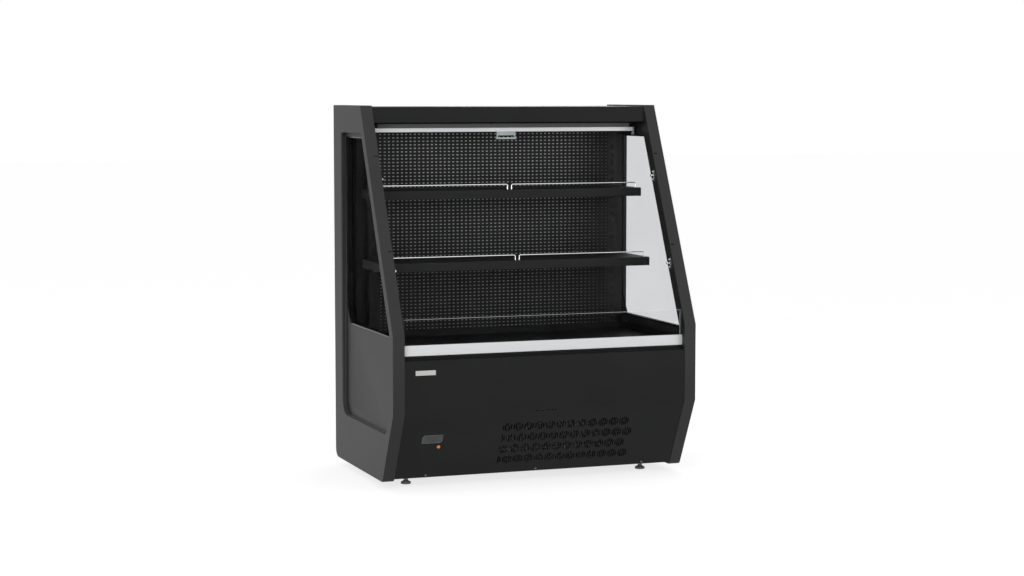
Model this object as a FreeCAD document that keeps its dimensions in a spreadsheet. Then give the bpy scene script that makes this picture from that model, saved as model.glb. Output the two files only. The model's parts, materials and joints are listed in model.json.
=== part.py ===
import FreeCAD, Part
import math
import os
import re

import Sketcher
from FreeCAD import Placement, Rotation, Vector

# Open multideck display fridge with its own cooling unit, as a parametric document.
# Millimetres, +Z up, origin on the floor under the middle of the cabinet.
# The open front faces -Y, and +X is on the right of someone who stands in front of it.

# How far a cutting tool passes the face that it cuts, and when two places count as one.
OVERCUT = "1"
SAME_PLACE = 0.01

SIZES = {
    # cabinet and end panels; heights are above the end panels' bottom edge
    "overall_width": 1250,
    "overall_depth": 810,
    "panel_height": 1440,
    "foot_gap": 30,
    "panel_thickness": 47.5,
    "top_depth": 391,
    "upper_knee": 579,
    "lower_knee": 279,
    "toe_setback": 146,
    "rear_corner_radius": 38,
    "toe_radius": 20,
    "top_radius": 4,
    # moulded recess in the outer face of each end panel
    "recess_depth": 19,
    "recess_top": 109,
    "recess_rear": 113,
    "recess_base": 193,
    "recess_front": 50,
    "recess_rear_radius": 60,
    "recess_toe_radius": 40,
    "recess_top_radius": 20,
    # window in the end panel and its double glazing
    "window_top": 124,
    "window_rear": 117,
    "window_front": 54,
    "sill_below_knee": 17,
    "window_cut": 53,
    "window_cut_rise": 75,
    "pane_thickness": 4,
    "pane_inset": 0.5,
    "pane_edge_gap": 0.5,
    "spacer_margin": 3,
    "spacer_width": 12,
    # fixing slots in the slanted front edge of the end panels
    "edge_slot_width": 16,
    "edge_slot_height": 3,
    "edge_slot_depth": 8,
    "edge_slot_inset": 11.5,
    "upper_edge_slot": 1245,
    "lower_edge_slot": 887,
    # base frame and levelling feet
    "frame_tube": 40,
    "frame_wall": 2,
    "frame_lift": 4,
    "frame_front_gap": 28,
    "frame_rear_gap": 12,
    "floor_sheet": 1.5,
    "gusset_size": 92,
    "gusset_thickness": 4,
    "bush_radius": 10,
    "bush_length": 26,
    "foot_inset": 128,
    "foot_front": 254,
    "foot_rear": 75,
    "foot_radius": 20,
    "foot_disc": 8,
    "foot_cone": 6,
    "foot_hexagon": 9,
    "foot_hexagon_height": 10,
    "stud_radius": 5,
    "stud_past_bush": 6,
    "thread_clearance": 0.08,
    # insulated tub, back wall and canopy
    "seam": 0.5,
    "tub_floor": 300,
    "insulation": 50,
    "front_wall": 40,
    "front_wall_gap": 20,
    "back_wall": 60,
    "back_face_gap": 1,
    "canopy_drop": 7,
    "canopy_foam": 45,
    "canopy_skin": 3,
    "canopy_front": 6,
    "canopy_foam_gap": 3,
    "pipe_hole_radius": 12,
    # canopy fascia
    "sheet": 1.5,
    "fascia_height": 60,
    "fascia_lean": 15,
    "fascia_return": 14,
    "fascia_lip": 8,
    # night blind; the travel is measured down and forward from rest
    "blind_setback": 57,
    "blind_side_gap": 47.5,
    "fabric_thickness": 0.6,
    "roller_radius": 14,
    "roll_radius": 17.4,
    "roll_clearance": 0.4,
    "roller_pin_radius": 4,
    "pin_clearance": 0.06,
    "roller_pin_length": 9,
    "roller_end_gap": 6,
    "cassette_side_gap": 22.5,
    "cassette_front": 27,
    "cassette_rear": 51,
    "cassette_height": 62,
    "cassette_wall": 2,
    "cassette_end": 3,
    "cassette_mouth_front": 10,
    "cassette_mouth_rear": 16,
    "bar_side_gap": 19.5,
    "bar_depth": 12,
    "bar_height": 16,
    "bar_drop": 106,
    "hook_thickness": 8,
    "hook_wall": 3,
    "hook_drop": 15,
    "hook_jaw": 5,
    "handle_width": 80,
    "grip_width": 86,
    "handle_plate": 15,
    "handle_slot": 8,
    "grip_height": 7,
    "handle_depth": 9,
    "handle_leg": 5,
    # blind catches on the inner faces of the end panels
    "catch_setback": 36,
    "upper_catch": 1156,
    "lower_catch": 812,
    "catch_width": 16,
    "catch_height": 44,
    "catch_plate": 3,
    "catch_reach": 13,
    "catch_peg_radius": 4,
    # air outlet and lamp under the canopy
    "outlet_depth": 56,
    "outlet_height": 30,
    "outlet_wall": 2,
    "outlet_cells": 46,
    "lamp_depth": 16,
    "lamp_height": 14,
    "lamp_side_gap": 37.5,
    # slotted uprights and perforated back panel
    "back_plane_gap": 207,
    "upright_side_gap": 59.5,
    "upright_width": 40,
    "upright_depth": 40,
    "upright_sheet": 2,
    "upright_arms": 3,
    "upright_arm": 3,
    "upright_arm_height": 40,
    "upright_arm_gap": 8,
    "upright_slot_width": 4,
    "upright_slot_height": 17,
    "slot_rise": 21.6,
    "slot_pitch": 34.8,
    "slot_count": 23,
    "back_panel_sheet": 1.2,
    "back_panel_flange": 14,
    "pan_ledge": 16,
    # shelves, their brackets and wire stops
    "upper_shelf_slot": 16,
    "lower_shelf_slot": 8,
    "upper_shelf_depth": 179,
    "lower_shelf_depth": 269,
    "shelf_side_gap": 9.5,
    "shelf_rear_gap": 6,
    "shelf_lip": 34,
    "bracket_thickness": 2.5,
    "bracket_nose": 20,
    "bracket_nose_inset": 34,
    "bracket_heel": 51,
    "bracket_rear_gap": 1.5,
    "hook_above_slot": 14,
    "hook_below_slot": 3,
    "hook_tip": 3,
    "hook_grip_gap": 0.5,
    "hook_rest_gap": 0.3,
    "bracket_seat": 18,
    "wire_radius": 2.2,
    "wire_height": 21,
    "wire_setback": 17,
    "wire_side_gap": 27.5,
    "wire_centre_gap": 8.5,
    "wire_bend": 6,
    # deck over the evaporator
    "deck_height": 505,
    "pan_wall": 32,
    "pan_gap": 0.6,
    "pan_rear_gap": 1.5,
    "grille_width": 52,
    "grille_margin": 6,
    "grille_slots": 60,
    "grille_slot_width": 8,
    "grille_slot_length": 38,
    # bumper, its rail and the riser glass
    "rail_front": 20,
    "rail_depth": 45,
    "rail_drop": 21,
    "rail_strip": 4,
    "rail_back_drop": 2,
    "bumper_front": 25,
    "bumper_height": 50,
    "bumper_radius": 2.2,
    "glass_front": 30.5,
    "glass_thickness": 5,
    "glass_clearance": 0.5,
    "glass_seat": 28,
    "glass_height": 120,
    "holder_width": 6,
    "holder_depth": 18,
    # front panel with its vents, badge and screws
    "front_panel_setback": 2.5,
    "front_panel_gap": 3.5,
    "front_panel_base": 11,
    "front_panel_flange": 17,
    "vent_left": 473.5,
    "vent_pitch": 44.3,
    "vent_rows": 4,
    "vent_columns": 12,
    "vent_first_row": 84,
    "vent_row_pitch": 52,
    "vent_radius": 20,
    "vent_slots_each_side": 2,
    "vent_slot": 5,
    "vent_web": 3,
    "vent_middle_web": 6,
    "small_vent_left": 579.5,
    "small_vent_pitch": 12.7,
    "small_vent_count": 7,
    "small_vent_drop": 7.75,
    "small_vent_width": 4,
    "small_vent_height": 7,
    "badge_left": 90,
    "badge_width": 80,
    "badge_drop": 54.5,
    "badge_height": 18.5,
    "badge_thickness": 1.2,
    "screw_radius": 4,
    "screw_head": 2,
    "screw_shank_radius": 2,
    "screw_length": 9,
    "screw_clearance": 0.2,
    "screw_rise": 9,
    "screw_side_gap": 124.5,
    # controller window and light button, measured down the sloping toe panel
    "window_left": 130,
    "window_width": 90,
    "window_drop": 100,
    "window_height": 45,
    "window_corner": 9,
    "controller_frame": 1.5,
    "controller_depth": 58,
    "controller_recess": 8,
    "button_left": 204,
    "button_drop": 159,
    "button_radius": 6.3,
    "button_gap": 0.4,
    "button_rise": 3,
    "button_depth": 12,
    "socket_radius": 9.5,
    "socket_depth": 26,
    "socket_wall": 2,
    # rear grille
    "rear_grille_inset": 14,
    "rear_grille_base": 36,
    "rear_louvre_rise": 18,
    "rear_louvre_count": 9,
    "rear_louvre_pitch": 22,
    "rear_louvre_height": 6,
    "rear_louvre_width": 230,
    "rear_louvre_centre": 280,
    "gland_radius": 11,
    "gland_height": 110,
    "gland_x": 450,
    # condensing unit in the machine room
    "condenser_left": 465,
    "condenser_width": 540,
    "condenser_top_gap": 34.5,
    "condenser_depth": 80,
    "condenser_front": 222,
    "condenser_fins": 45,
    "fin_thickness": 1,
    "coil_plate": 3,
    "coil_tube_radius": 5,
    "shroud_depth": 40,
    "shroud_wall": 2,
    "shroud_margin": 7,
    "condenser_hub_radius": 28,
    "fan_tip_gap": 5,
    "condenser_motor_radius": 36,
    "condenser_motor_length": 48,
    "condenser_fan_stand": 8,
    "motor_shaft_radius": 4,
    "shaft_clearance": 0.06,
    "blade_chord": 34,
    "blade_sheet": 2,
    "blade_rake": 14,
    "blade_root_depth": 6,
    "hub_length": 22,
    "hub_motor_gap": 3,
    "motor_arm": 10,
    "compressor_x": 60,
    "compressor_y": 175,
    "compressor_radius": 80,
    "compressor_height": 150,
    "compressor_dome": 30,
    "compressor_shell": 5,
    "compressor_plate": 4,
    "compressor_plate_width": 220,
    "compressor_plate_depth": 160,
    "mount_radius": 14,
    "mount_height": 16,
    "mount_inset": 18,
    "tray_left": 240,
    "tray_width": 300,
    "tray_front": 20,
    "tray_length": 320,
    "tray_height": 44,
    "tray_wall": 2,
    "electrical_left": 372,
    "electrical_width": 170,
    "electrical_depth": 150,
    "electrical_height": 160,
    "electrical_wall": 2,
    "electrical_gap": 14,
    "pipe_radius": 5,
    "pipe_bend": 25,
    "pipe_touch": 0.2,
    "suction_side_gap": 40,
    "suction_height": 215,
    "evaporator_pipe_height": 445,
    "discharge_side_gap": 70,
    "discharge_height": 130,
    # evaporator and its two fans under the deck
    "evaporator_side_gap": 117.5,
    "evaporator_front": 270,
    "evaporator_depth": 200,
    "evaporator_top_gap": 35.5,
    "evaporator_fins": 60,
    "fan_plate_line": 117,
    "fan_plate_flange": 18,
    "evaporator_fan_x": 290,
    "evaporator_fan_margin": 13.75,
    "evaporator_hub_radius": 20,
    "evaporator_motor_radius": 22,
    "evaporator_motor_length": 34,
    "evaporator_blade_chord": 22,
    "evaporator_blade_rake": 9,
    "evaporator_hub_length": 14,
    "evaporator_motor_arm": 8,
    "fan_blades": 5,
}

PLACES = {
    "half_width": "overall_width / 2",
    "inner_half": "overall_width / 2 - panel_thickness",
    "seam_half": "inner_half - seam",
    "web_half": "overall_width / 2 - recess_depth",
    "front_y": "-overall_depth / 2",
    "rear_y": "overall_depth / 2",
    "top_front_y": "rear_y - top_depth",
    "toe_y": "front_y + toe_setback",
    "panel_top": "foot_gap + panel_height",
    "upper_knee_z": "foot_gap + upper_knee",
    "lower_knee_z": "foot_gap + lower_knee",
    "slant": "(top_front_y - front_y) / (panel_top - upper_knee_z)",
    "toe_slant": "toe_setback / lower_knee",
    "toe_angle": "atan(toe_slant)",
    "sill_z": "upper_knee_z - sill_below_knee",
    "frame_base": "foot_gap + frame_lift",
    "frame_top": "frame_base + frame_tube",
    "frame_front": "toe_y + frame_front_gap",
    "frame_rear": "rear_y - frame_rear_gap",
    "machine_floor": "frame_top + floor_sheet",
    "tub_base": "foot_gap + tub_floor",
    "tub_top": "tub_base + insulation",
    "front_wall_y": "front_y + front_wall_gap",
    "back_wall_y": "rear_y - back_face_gap - back_wall",
    "back_face_y": "rear_y - back_face_gap",
    "canopy_top": "panel_top - canopy_drop",
    "canopy_base": "canopy_top - canopy_foam",
    "canopy_ceiling": "canopy_top - canopy_skin",
    "canopy_y": "top_front_y + canopy_front",
    "fascia_slant": "fascia_lean / fascia_height",
    "fascia_run": "sheet * sqrt(1 + fascia_slant ^ 2)",
    "blind_y": "top_front_y + blind_setback",
    "blind_half": "inner_half - blind_side_gap",
    "cassette_half": "inner_half - cassette_side_gap - cassette_end",
    "bar_half": "inner_half - bar_side_gap - hook_thickness",
    "roller_y": "blind_y + fabric_thickness / 2 + roll_clearance + roll_radius",
    "cassette_y": "blind_y - cassette_front",
    "cassette_end_y": "blind_y + cassette_rear",
    "cassette_base": "canopy_ceiling - cassette_height",
    "roller_z": "canopy_ceiling - cassette_height / 2",
    "bar_base_z": "panel_top - bar_drop",
    "bar_top_z": "bar_base_z + bar_height",
    "bar_y": "blind_y - bar_depth / 2",
    "handle_y": "blind_y - handle_depth / 2",
    "handle_base": "bar_base_z - handle_plate - handle_slot - grip_height",
    "outlet_y": "cassette_end_y",
    "outlet_base": "canopy_base - outlet_height",
    "back_y": "rear_y - back_plane_gap",
    "upright_centre": "inner_half - upright_side_gap",
    "panel_ceiling": "outlet_base",
    "deck_top": "foot_gap + deck_height",
    "first_slot": "deck_top + slot_rise",
    "deck_base": "deck_top - sheet",
    "rail_base_z": "deck_top - rail_drop",
    "rail_y": "front_y + rail_front",
    "rail_rear_y": "rail_y + rail_depth",
    "bumper_base": "rail_base_z + rail_strip",
    "bumper_top": "bumper_base + bumper_height",
    "bumper_y": "front_y + bumper_front",
    "glass_y": "front_y + glass_front",
    "glass_base": "bumper_base + glass_seat",
    "glass_top": "glass_base + glass_height",
    "fan_plate_y": "front_y + fan_plate_line",
    "fan_z": "(tub_top + deck_base) / 2",
    "pan_front_y": "fan_plate_y",
    "skin_y": "front_y + front_panel_setback",
    "skin_top": "rail_base_z - front_panel_gap",
    "screw_spread": "inner_half - screw_side_gap",
    "skin_base": "foot_gap + front_panel_base",
    "skin_run": "sheet / cos(toe_angle)",
    "condenser_y": "front_y + condenser_front",
    "condenser_x": "-half_width + condenser_left",
    "condenser_middle": "condenser_x + condenser_width / 2",
    "condenser_height": "tub_base - machine_floor - condenser_top_gap",
    "condenser_fan_z": "machine_floor + condenser_height / 2",
    "condenser_fan_radius": "condenser_height / 2 - shroud_margin - fan_tip_gap",
    "shroud_y": "condenser_y + condenser_depth",
    "shroud_rear_y": "shroud_y + shroud_depth",
    "condenser_fan_y": "shroud_rear_y - hub_length + condenser_fan_stand",
    "condenser_motor_y": "condenser_fan_y + hub_length + hub_motor_gap",
    "shell_base": "machine_floor + mount_height + compressor_plate",
    "evaporator_y": "front_y + evaporator_front",
    "evaporator_reach": "inner_half - evaporator_side_gap",
    "evaporator_height": "deck_base - tub_top - evaporator_top_gap",
    "evaporator_fan_radius": "(deck_base - tub_top) / 2 - evaporator_fan_margin - fan_tip_gap",
    "suction_x": "evaporator_reach + suction_side_gap",
    "evaporator_fan_y": "fan_plate_y - evaporator_hub_length / 2",
    "evaporator_motor_y": "evaporator_fan_y + evaporator_hub_length + hub_motor_gap",
}

doc = FreeCAD.newDocument("open_multideck_fridge")
sheet = doc.addObject("Spreadsheet::Sheet", "Sizes")
for row, (alias, size) in enumerate(SIZES.items(), start=1):
    sheet.set(f"A{row}", alias.replace("_", " "))
    sheet.set(f"B{row}", str(size))
    sheet.setAlias(f"B{row}", alias)
doc.recompute()

pieces = []


def bound(expression):
    """Spells out every named place and ties every size to its cell."""
    def spelled(found):
        word = found.group(0)
        if word in PLACES:
            return "(" + bound(PLACES[word]) + ")"
        return "Sizes." + word if word in SIZES else word
    return re.sub(r"[a-z]\w*", spelled, str(expression))


def number(expression):
    """The value that an expression has now, in millimetres or degrees."""
    result = sheet.evalExpression(bound(expression))
    return float(getattr(result, "Value", result))


def tie(item, name, expression):
    item.setExpression(name, bound(expression))


def piece(item):
    """Marks an object as a sub-part of its own, which is written to a file."""
    pieces.append(item)
    return item


def block(name, x, y, z):
    """A rectangular block between three pairs of faces."""
    item = doc.addObject("Part::Box", name)
    for side, letter, (low, high) in (("Length", "x", x), ("Width", "y", y), ("Height", "z", z)):
        tie(item, side, f"({high}) - ({low})")
        tie(item, "Placement.Base." + letter, low)
    return item


TURNS = {
    "x": Rotation(Vector(0, 1, 0), 90),
    "y": Rotation(Vector(1, 0, 0), -90),
    "z": Rotation(),
}


def rod(name, along, centre, radius, low, high):
    """A round bar along one axis, through a centre given by its other two coordinates."""
    item = doc.addObject("Part::Cylinder", name)
    item.Placement = Placement(Vector(), TURNS[along])
    tie(item, "Radius", radius)
    tie(item, "Height", f"({high}) - ({low})")
    across = [letter for letter in "xyz" if letter != along]
    for letter, place in zip(across, centre):
        tie(item, "Placement.Base." + letter, place)
    tie(item, "Placement.Base." + along, low)
    return item


def fuse(name, items):
    item = doc.addObject("Part::MultiFuse", name)
    item.Shapes = items
    return item


def cut(name, base, tools):
    """The base less all the tools."""
    item = doc.addObject("Part::Cut", name)
    item.Base = base
    item.Tool = tools[0] if len(tools) == 1 else group(name + "_tools", tools)
    return item


def group(name, items):
    """Separate solids that share one name."""
    item = doc.addObject("Part::Compound", name)
    item.Links = items
    return item


# Sketch planes: the letters that run across and up, and the way the plane faces.
PLANES = {
    "YZ": ("YZ_Plane", 1),
    "XZ": ("XZ_Plane", -1),
    "XY": ("XY_Plane", 1),
}


def sketch_on(body, plane, offset):
    """An empty sketch of a body, on a plane at a distance along the plane's axis."""
    role, facing = PLANES[plane]
    sketch = body.newObject("Sketcher::SketchObject", body.Name + "_sketch")
    origin = [item for item in body.Origin.OriginFeatures if item.Role == role][0]
    sketch.AttachmentSupport = (origin, "")
    sketch.MapMode = "FlatFace"
    tie(sketch, "AttachmentOffset.Base.z", offset if facing > 0 else f"-({offset})")
    return sketch


def add_outline(sketch, outline):
    """Draws a closed outline through points whose places are tied to the sizes."""
    first = sketch.GeometryCount
    spots = [Vector(number(u), number(v), 0) for u, v in outline]
    for start, end in zip(spots, spots[1:] + spots[:1]):
        sketch.addGeometry(Part.LineSegment(start, end))
    count = len(outline)
    for index in range(count):
        here = first + index
        following = first + (index + 1) % count
        sketch.addConstraint(Sketcher.Constraint("Coincident", here, 2, following, 1))
    for index, (u, v) in enumerate(outline):
        here = first + index
        for kind, place, value in (("DistanceX", u, spots[index].x), ("DistanceY", v, spots[index].y)):
            number_of = sketch.addConstraint(Sketcher.Constraint(kind, -1, 1, here, 1, value))
            label = f"{kind}{here}"
            sketch.renameConstraint(number_of, label)
            tie(sketch, "Constraints." + label, place)


def add_circle(sketch, centre, radius):
    """Draws a circle whose centre and radius are tied to the sizes."""
    here = sketch.GeometryCount
    spot = Vector(number(centre[0]), number(centre[1]), 0)
    sketch.addGeometry(Part.Circle(spot, Vector(0, 0, 1), number(radius)))
    limits = (
        ("DistanceX", Sketcher.Constraint("DistanceX", -1, 1, here, 3, spot.x), centre[0]),
        ("DistanceY", Sketcher.Constraint("DistanceY", -1, 1, here, 3, spot.y), centre[1]),
        ("Radius", Sketcher.Constraint("Radius", here, number(radius)), radius),
    )
    for kind, constraint, place in limits:
        number_of = sketch.addConstraint(constraint)
        label = f"{kind}{here}"
        sketch.renameConstraint(number_of, label)
        tie(sketch, "Constraints." + label, place)


def pad(body, plane, outlines, low, high):
    """Adds a prism between two depths; each outline after the first is a hole in it."""
    facing = PLANES[plane][1]
    sketch = sketch_on(body, plane, low if facing > 0 else high)
    for outline in outlines:
        add_outline(sketch, outline)
    feature = body.newObject("PartDesign::Pad", body.Name + "_pad")
    feature.Profile = sketch
    tie(feature, "Length", f"({high}) - ({low})")
    doc.recompute()
    return feature


def pocket(body, plane, outline, low, high):
    """Cuts a prism between two depths out of a body, and makes sure that it cut."""
    before = body.Shape.Volume
    facing = PLANES[plane][1]
    sketch = sketch_on(body, plane, high if facing > 0 else low)
    if len(outline) == 1:
        add_circle(sketch, *outline[0])
    else:
        add_outline(sketch, outline)
    feature = body.newObject("PartDesign::Pocket", body.Name + "_pocket")
    feature.Profile = sketch
    tie(feature, "Length", f"({high}) - ({low})")
    doc.recompute()
    if body.Shape.Volume > before - SAME_PLACE:
        raise ValueError(f"{body.Label}: a pocket cuts nothing")
    return feature


def repeat(body, feature, role, spacing, count):
    """Repeats a feature in a row along one axis of its body."""
    row_of = body.newObject("PartDesign::LinearPattern", body.Name + "_row")
    row_of.Originals = [feature]
    axis = [item for item in body.Origin.OriginFeatures if item.Role == role][0]
    row_of.Direction = (axis, [""])
    tie(row_of, "Length", f"({spacing}) * ({count} - 1)")
    tie(row_of, "Occurrences", count)
    body.Tip = row_of
    doc.recompute()
    return row_of


def prism(name, plane, outline, low, high, holes=()):
    """A body of one constant section."""
    body = doc.addObject("PartDesign::Body", name)
    pad(body, plane, [outline, *holes], low, high)
    return body


def rectangle(low_u, high_u, low_v, high_v):
    return [(low_u, low_v), (high_u, low_v), (high_u, high_v), (low_u, high_v)]


def fillet(body, plane, corners):
    """Rounds the edges that cross a plane at the given corners, each with its radius."""
    across = {"YZ": ("y", "z"), "XZ": ("x", "z"), "XY": ("x", "y")}[plane]
    for u, v, radius in corners:
        spot = (number(u), number(v))
        shape = body.Shape
        names = []
        for index, edge in enumerate(shape.Edges, start=1):
            ends = [vertex.Point for vertex in edge.Vertexes]
            near = [abs(getattr(end, letter) - place) < SAME_PLACE
                    for end in ends for letter, place in zip(across, spot)]
            if len(ends) == 2 and all(near):
                names.append(f"Edge{index}")
        if not names:
            raise ValueError(f"{body.Label}: no edge at {spot}")
        rounded = body.Tip
        feature = body.newObject("PartDesign::Fillet", body.Name + "_round")
        feature.Base = (rounded, names)
        tie(feature, "Radius", radius)
        doc.recompute()


def sided(side, near, far):
    """A span across X on the left (-1) or right (+1), from its near to its far distance."""
    if side > 0:
        return near, far
    return f"-({far})", f"-({near})"


def beyond(low, high):
    """A cutting span that passes both faces."""
    return f"({low}) - {OVERCUT}", f"({high}) + {OVERCUT}"


def on_slant(height, setback):
    """Y of the slanted front edge at a height, moved back by a setback."""
    return f"front_y + ({height} - upper_knee_z) * slant + {setback}"


def on_toe(height, setback):
    """Y of the sloping toe edge at a height, moved back by a setback."""
    return f"front_y + (lower_knee_z - ({height})) * toe_slant + {setback}"


def on_toe_panel(item):
    """Moves an object drawn against the toe panel's outer face, knee line at zero, onto it."""
    item.Placement = Placement(Vector(), Rotation(Vector(1, 0, 0), 1))
    tie(item, "Placement.Rotation.Angle", "toe_angle")
    tie(item, "Placement.Base.y", "skin_y")
    tie(item, "Placement.Base.z", "lower_knee_z")
    return item


# ---------------------------------------------------------------- end panels and glazing

def window_outline(margin):
    """The window's outline, drawn in by a margin."""
    top = f"(panel_top - window_top - ({margin}))"
    rear = f"(rear_y - window_rear - ({margin}))"
    front = f"(front_y + window_front + ({margin}))"
    sill = f"(sill_z + ({margin}))"
    return [
        (rear, f"{sill} + window_cut_rise"),
        (rear, top),
        (on_slant(top, f"window_front + ({margin})"), top),
        (front, "upper_knee_z"),
        (front, sill),
        (f"{rear} - window_cut", sill),
    ]


def end_panel(name, side):
    """Foam-filled end panel with a moulded recess, a window and two fixing slots."""
    low, high = sided(side, "inner_half", "half_width")
    corners = [
        ("rear_y", "foot_gap"),
        ("rear_y", "panel_top"),
        ("top_front_y", "panel_top"),
        ("front_y", "upper_knee_z"),
        ("front_y", "lower_knee_z"),
        ("toe_y", "foot_gap"),
    ]
    body = prism(name, "YZ", corners, low, high)
    recess_foot = "(foot_gap + recess_base)"
    recess_head = "(panel_top - recess_top)"
    recess = [
        ("rear_y - recess_rear", recess_foot),
        ("rear_y - recess_rear", recess_head),
        (on_slant(recess_head, "recess_front"), recess_head),
        ("front_y + recess_front", "upper_knee_z"),
        ("front_y + recess_front", "lower_knee_z"),
        (on_toe(recess_foot, "recess_front"), recess_foot),
    ]
    pocket(body, "YZ", recess, *sided(side, "web_half", "half_width"))
    fillet(body, "YZ", [
        (*corners[0], "rear_corner_radius"),
        (*corners[1], "top_radius"),
        (*corners[2], "top_radius"),
        (*corners[5], "toe_radius"),
        (*recess[0], "recess_rear_radius"),
        (*recess[1], "recess_top_radius"),
        (*recess[2], "recess_top_radius"),
        (*recess[5], "recess_toe_radius"),
    ])
    pocket(body, "YZ", window_outline(0), *sided(side, "inner_half", "web_half"))
    for slot in ("upper_edge_slot", "lower_edge_slot"):
        height = f"(foot_gap + {slot})"
        near = "inner_half + edge_slot_inset - edge_slot_width / 2"
        across = sided(side, near, f"{near} + edge_slot_width")
        opening = rectangle(*across, f"{height} - edge_slot_height / 2", f"{height} + edge_slot_height / 2")
        mouth = on_slant(height, "0")
        pocket(body, "XZ", opening, f"{mouth} - edge_slot_depth", f"{mouth} + edge_slot_depth")
    return piece(body)


def side_glass(name, side):
    """Two panes of the end panel's window."""
    outline = window_outline("pane_edge_gap")
    outer = sided(side, "web_half - pane_inset - pane_thickness", "web_half - pane_inset")
    inner = sided(side, "inner_half + pane_inset", "inner_half + pane_inset + pane_thickness")
    panes = [
        prism(name + "_outer_pane", "YZ", outline, *outer),
        prism(name + "_inner_pane", "YZ", outline, *inner),
    ]
    return piece(group(name, panes))


def glass_spacers():
    """The black spacer frame between the panes on each side."""
    frames = []
    pane = "pane_inset + pane_thickness"
    for word, side in (("left", -1), ("right", 1)):
        ends = sided(side, f"inner_half + {pane}", f"web_half - ({pane})")
        hole = window_outline("pane_edge_gap + spacer_margin + spacer_width")
        outline = window_outline("pane_edge_gap + spacer_margin")
        frames.append(prism("spacer_" + word, "YZ", outline, *ends, holes=[hole]))
    return piece(group("glass_spacers", frames))


# ---------------------------------------------------------------- base frame and feet

FOOT_SPOTS = {
    "front_left": (-1, "front_y + foot_front"),
    "front_right": (1, "front_y + foot_front"),
    "rear_left": (-1, "rear_y - foot_rear"),
    "rear_right": (1, "rear_y - foot_rear"),
}


def tube(name, x, y, hollow_along):
    """A square steel tube of the base frame and the hollow inside it."""
    z = ("frame_base", "frame_top")
    outside = block(name, x, y, z)
    inner = [[f"({low}) + frame_wall", f"({high}) - frame_wall"] for low, high in (x, y, z)]
    inner[hollow_along] = list((x, y)[hollow_along])
    return outside, block(name + "_hollow", *inner)


def base_frame():
    """Welded frame of square tube with the machine room's floor and four threaded bushes."""
    reach = ("-seam_half", "seam_half")
    front = ("frame_front", "frame_front + frame_tube")
    rear = ("frame_rear - frame_tube", "frame_rear")
    between = ("frame_front + frame_tube", "frame_rear - frame_tube")
    sides = {
        "left": ("-seam_half", "-seam_half + frame_tube"),
        "middle": ("-frame_tube / 2", "frame_tube / 2"),
        "right": ("seam_half - frame_tube", "seam_half"),
    }
    tubes = [tube("front_tube", reach, front, 0), tube("rear_tube", reach, rear, 0)]
    tubes += [tube(word + "_tube", across, between, 1) for word, across in sides.items()]
    solids = [outside for outside, hollow in tubes]
    hollows = [hollow for outside, hollow in tubes]
    depth = ("frame_front", "frame_rear")
    solids.append(block("machine_floor", reach, depth, ("frame_top", "machine_floor")))
    for word, (side, foot_y) in FOOT_SPOTS.items():
        foot_x = f"{side} * (half_width - foot_inset)"
        across = sided(side, "seam_half - frame_tube - gusset_size", "seam_half - frame_tube")
        along = (f"{foot_y} - gusset_size / 2", f"{foot_y} + gusset_size / 2")
        solids.append(block(word + "_gusset", across, along, ("frame_base", "frame_base + gusset_thickness")))
        bush = ("frame_base", "frame_base + bush_length")
        solids.append(rod(word + "_bush", "z", (foot_x, foot_y), "bush_radius", *bush))
        bore = "stud_radius + thread_clearance"
        hollows.append(rod(word + "_thread", "z", (foot_x, foot_y), bore, *beyond(*bush)))
    return piece(cut("base_frame", fuse("frame_weldment", solids), hollows))


def levelling_foot(word):
    """A disc on a threaded stud that screws into the frame."""
    side, foot_y = FOOT_SPOTS[word]
    centre = (f"{side} * (half_width - foot_inset)", foot_y)
    disc = rod(word + "_disc", "z", centre, "foot_radius", 0, "foot_disc")
    cone = doc.addObject("Part::Cone", word + "_cone")
    tie(cone, "Radius1", "foot_radius")
    tie(cone, "Radius2", "foot_hexagon")
    tie(cone, "Height", "foot_cone")
    hexagon = doc.addObject("Part::Prism", word + "_hexagon")
    hexagon.Polygon = 6
    tie(hexagon, "Circumradius", "foot_hexagon")
    tie(hexagon, "Height", "foot_hexagon_height")
    for item, base in ((cone, "foot_disc"), (hexagon, "foot_disc + foot_cone")):
        tie(item, "Placement.Base.x", centre[0])
        tie(item, "Placement.Base.y", centre[1])
        tie(item, "Placement.Base.z", base)
    stud_base = "foot_disc + foot_cone + foot_hexagon_height"
    stud_end = "frame_base + bush_length + stud_past_bush"
    stud = rod(word + "_stud", "z", centre, "stud_radius", stud_base, stud_end)
    return piece(fuse("levelling_foot_" + word, [disc, cone, hexagon, stud]))


# ---------------------------------------------------------------- insulated shell

def insulated_shell():
    """Floor and front wall of the tub, the back wall and the canopy."""
    across = ("-seam_half", "seam_half")
    slab = block("tub_slab", across, ("front_wall_y", "back_wall_y"), ("tub_base", "tub_top"))
    pipe = ("suction_x", "compressor_y")
    hole = rod("pipe_hole", "z", pipe, "pipe_hole_radius", *beyond("tub_base", "tub_top"))
    piece(cut("insulated_floor", slab, [hole]))
    front = ("front_wall_y", "front_wall_y + front_wall")
    piece(block("insulated_front", across, front, ("tub_top", "rail_base_z")))
    piece(block("insulated_back", across, ("back_wall_y", "back_face_y"), ("tub_base", "canopy_base")))
    foam_front = "cassette_end_y + canopy_foam_gap"
    section = [
        ("canopy_y", "canopy_top"),
        ("canopy_y", "canopy_ceiling"),
        (foam_front, "canopy_ceiling"),
        (foam_front, "canopy_base"),
        ("back_face_y", "canopy_base"),
        ("back_face_y", "canopy_top"),
    ]
    piece(prism("canopy", "YZ", section, "-seam_half", "seam_half"))


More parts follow.
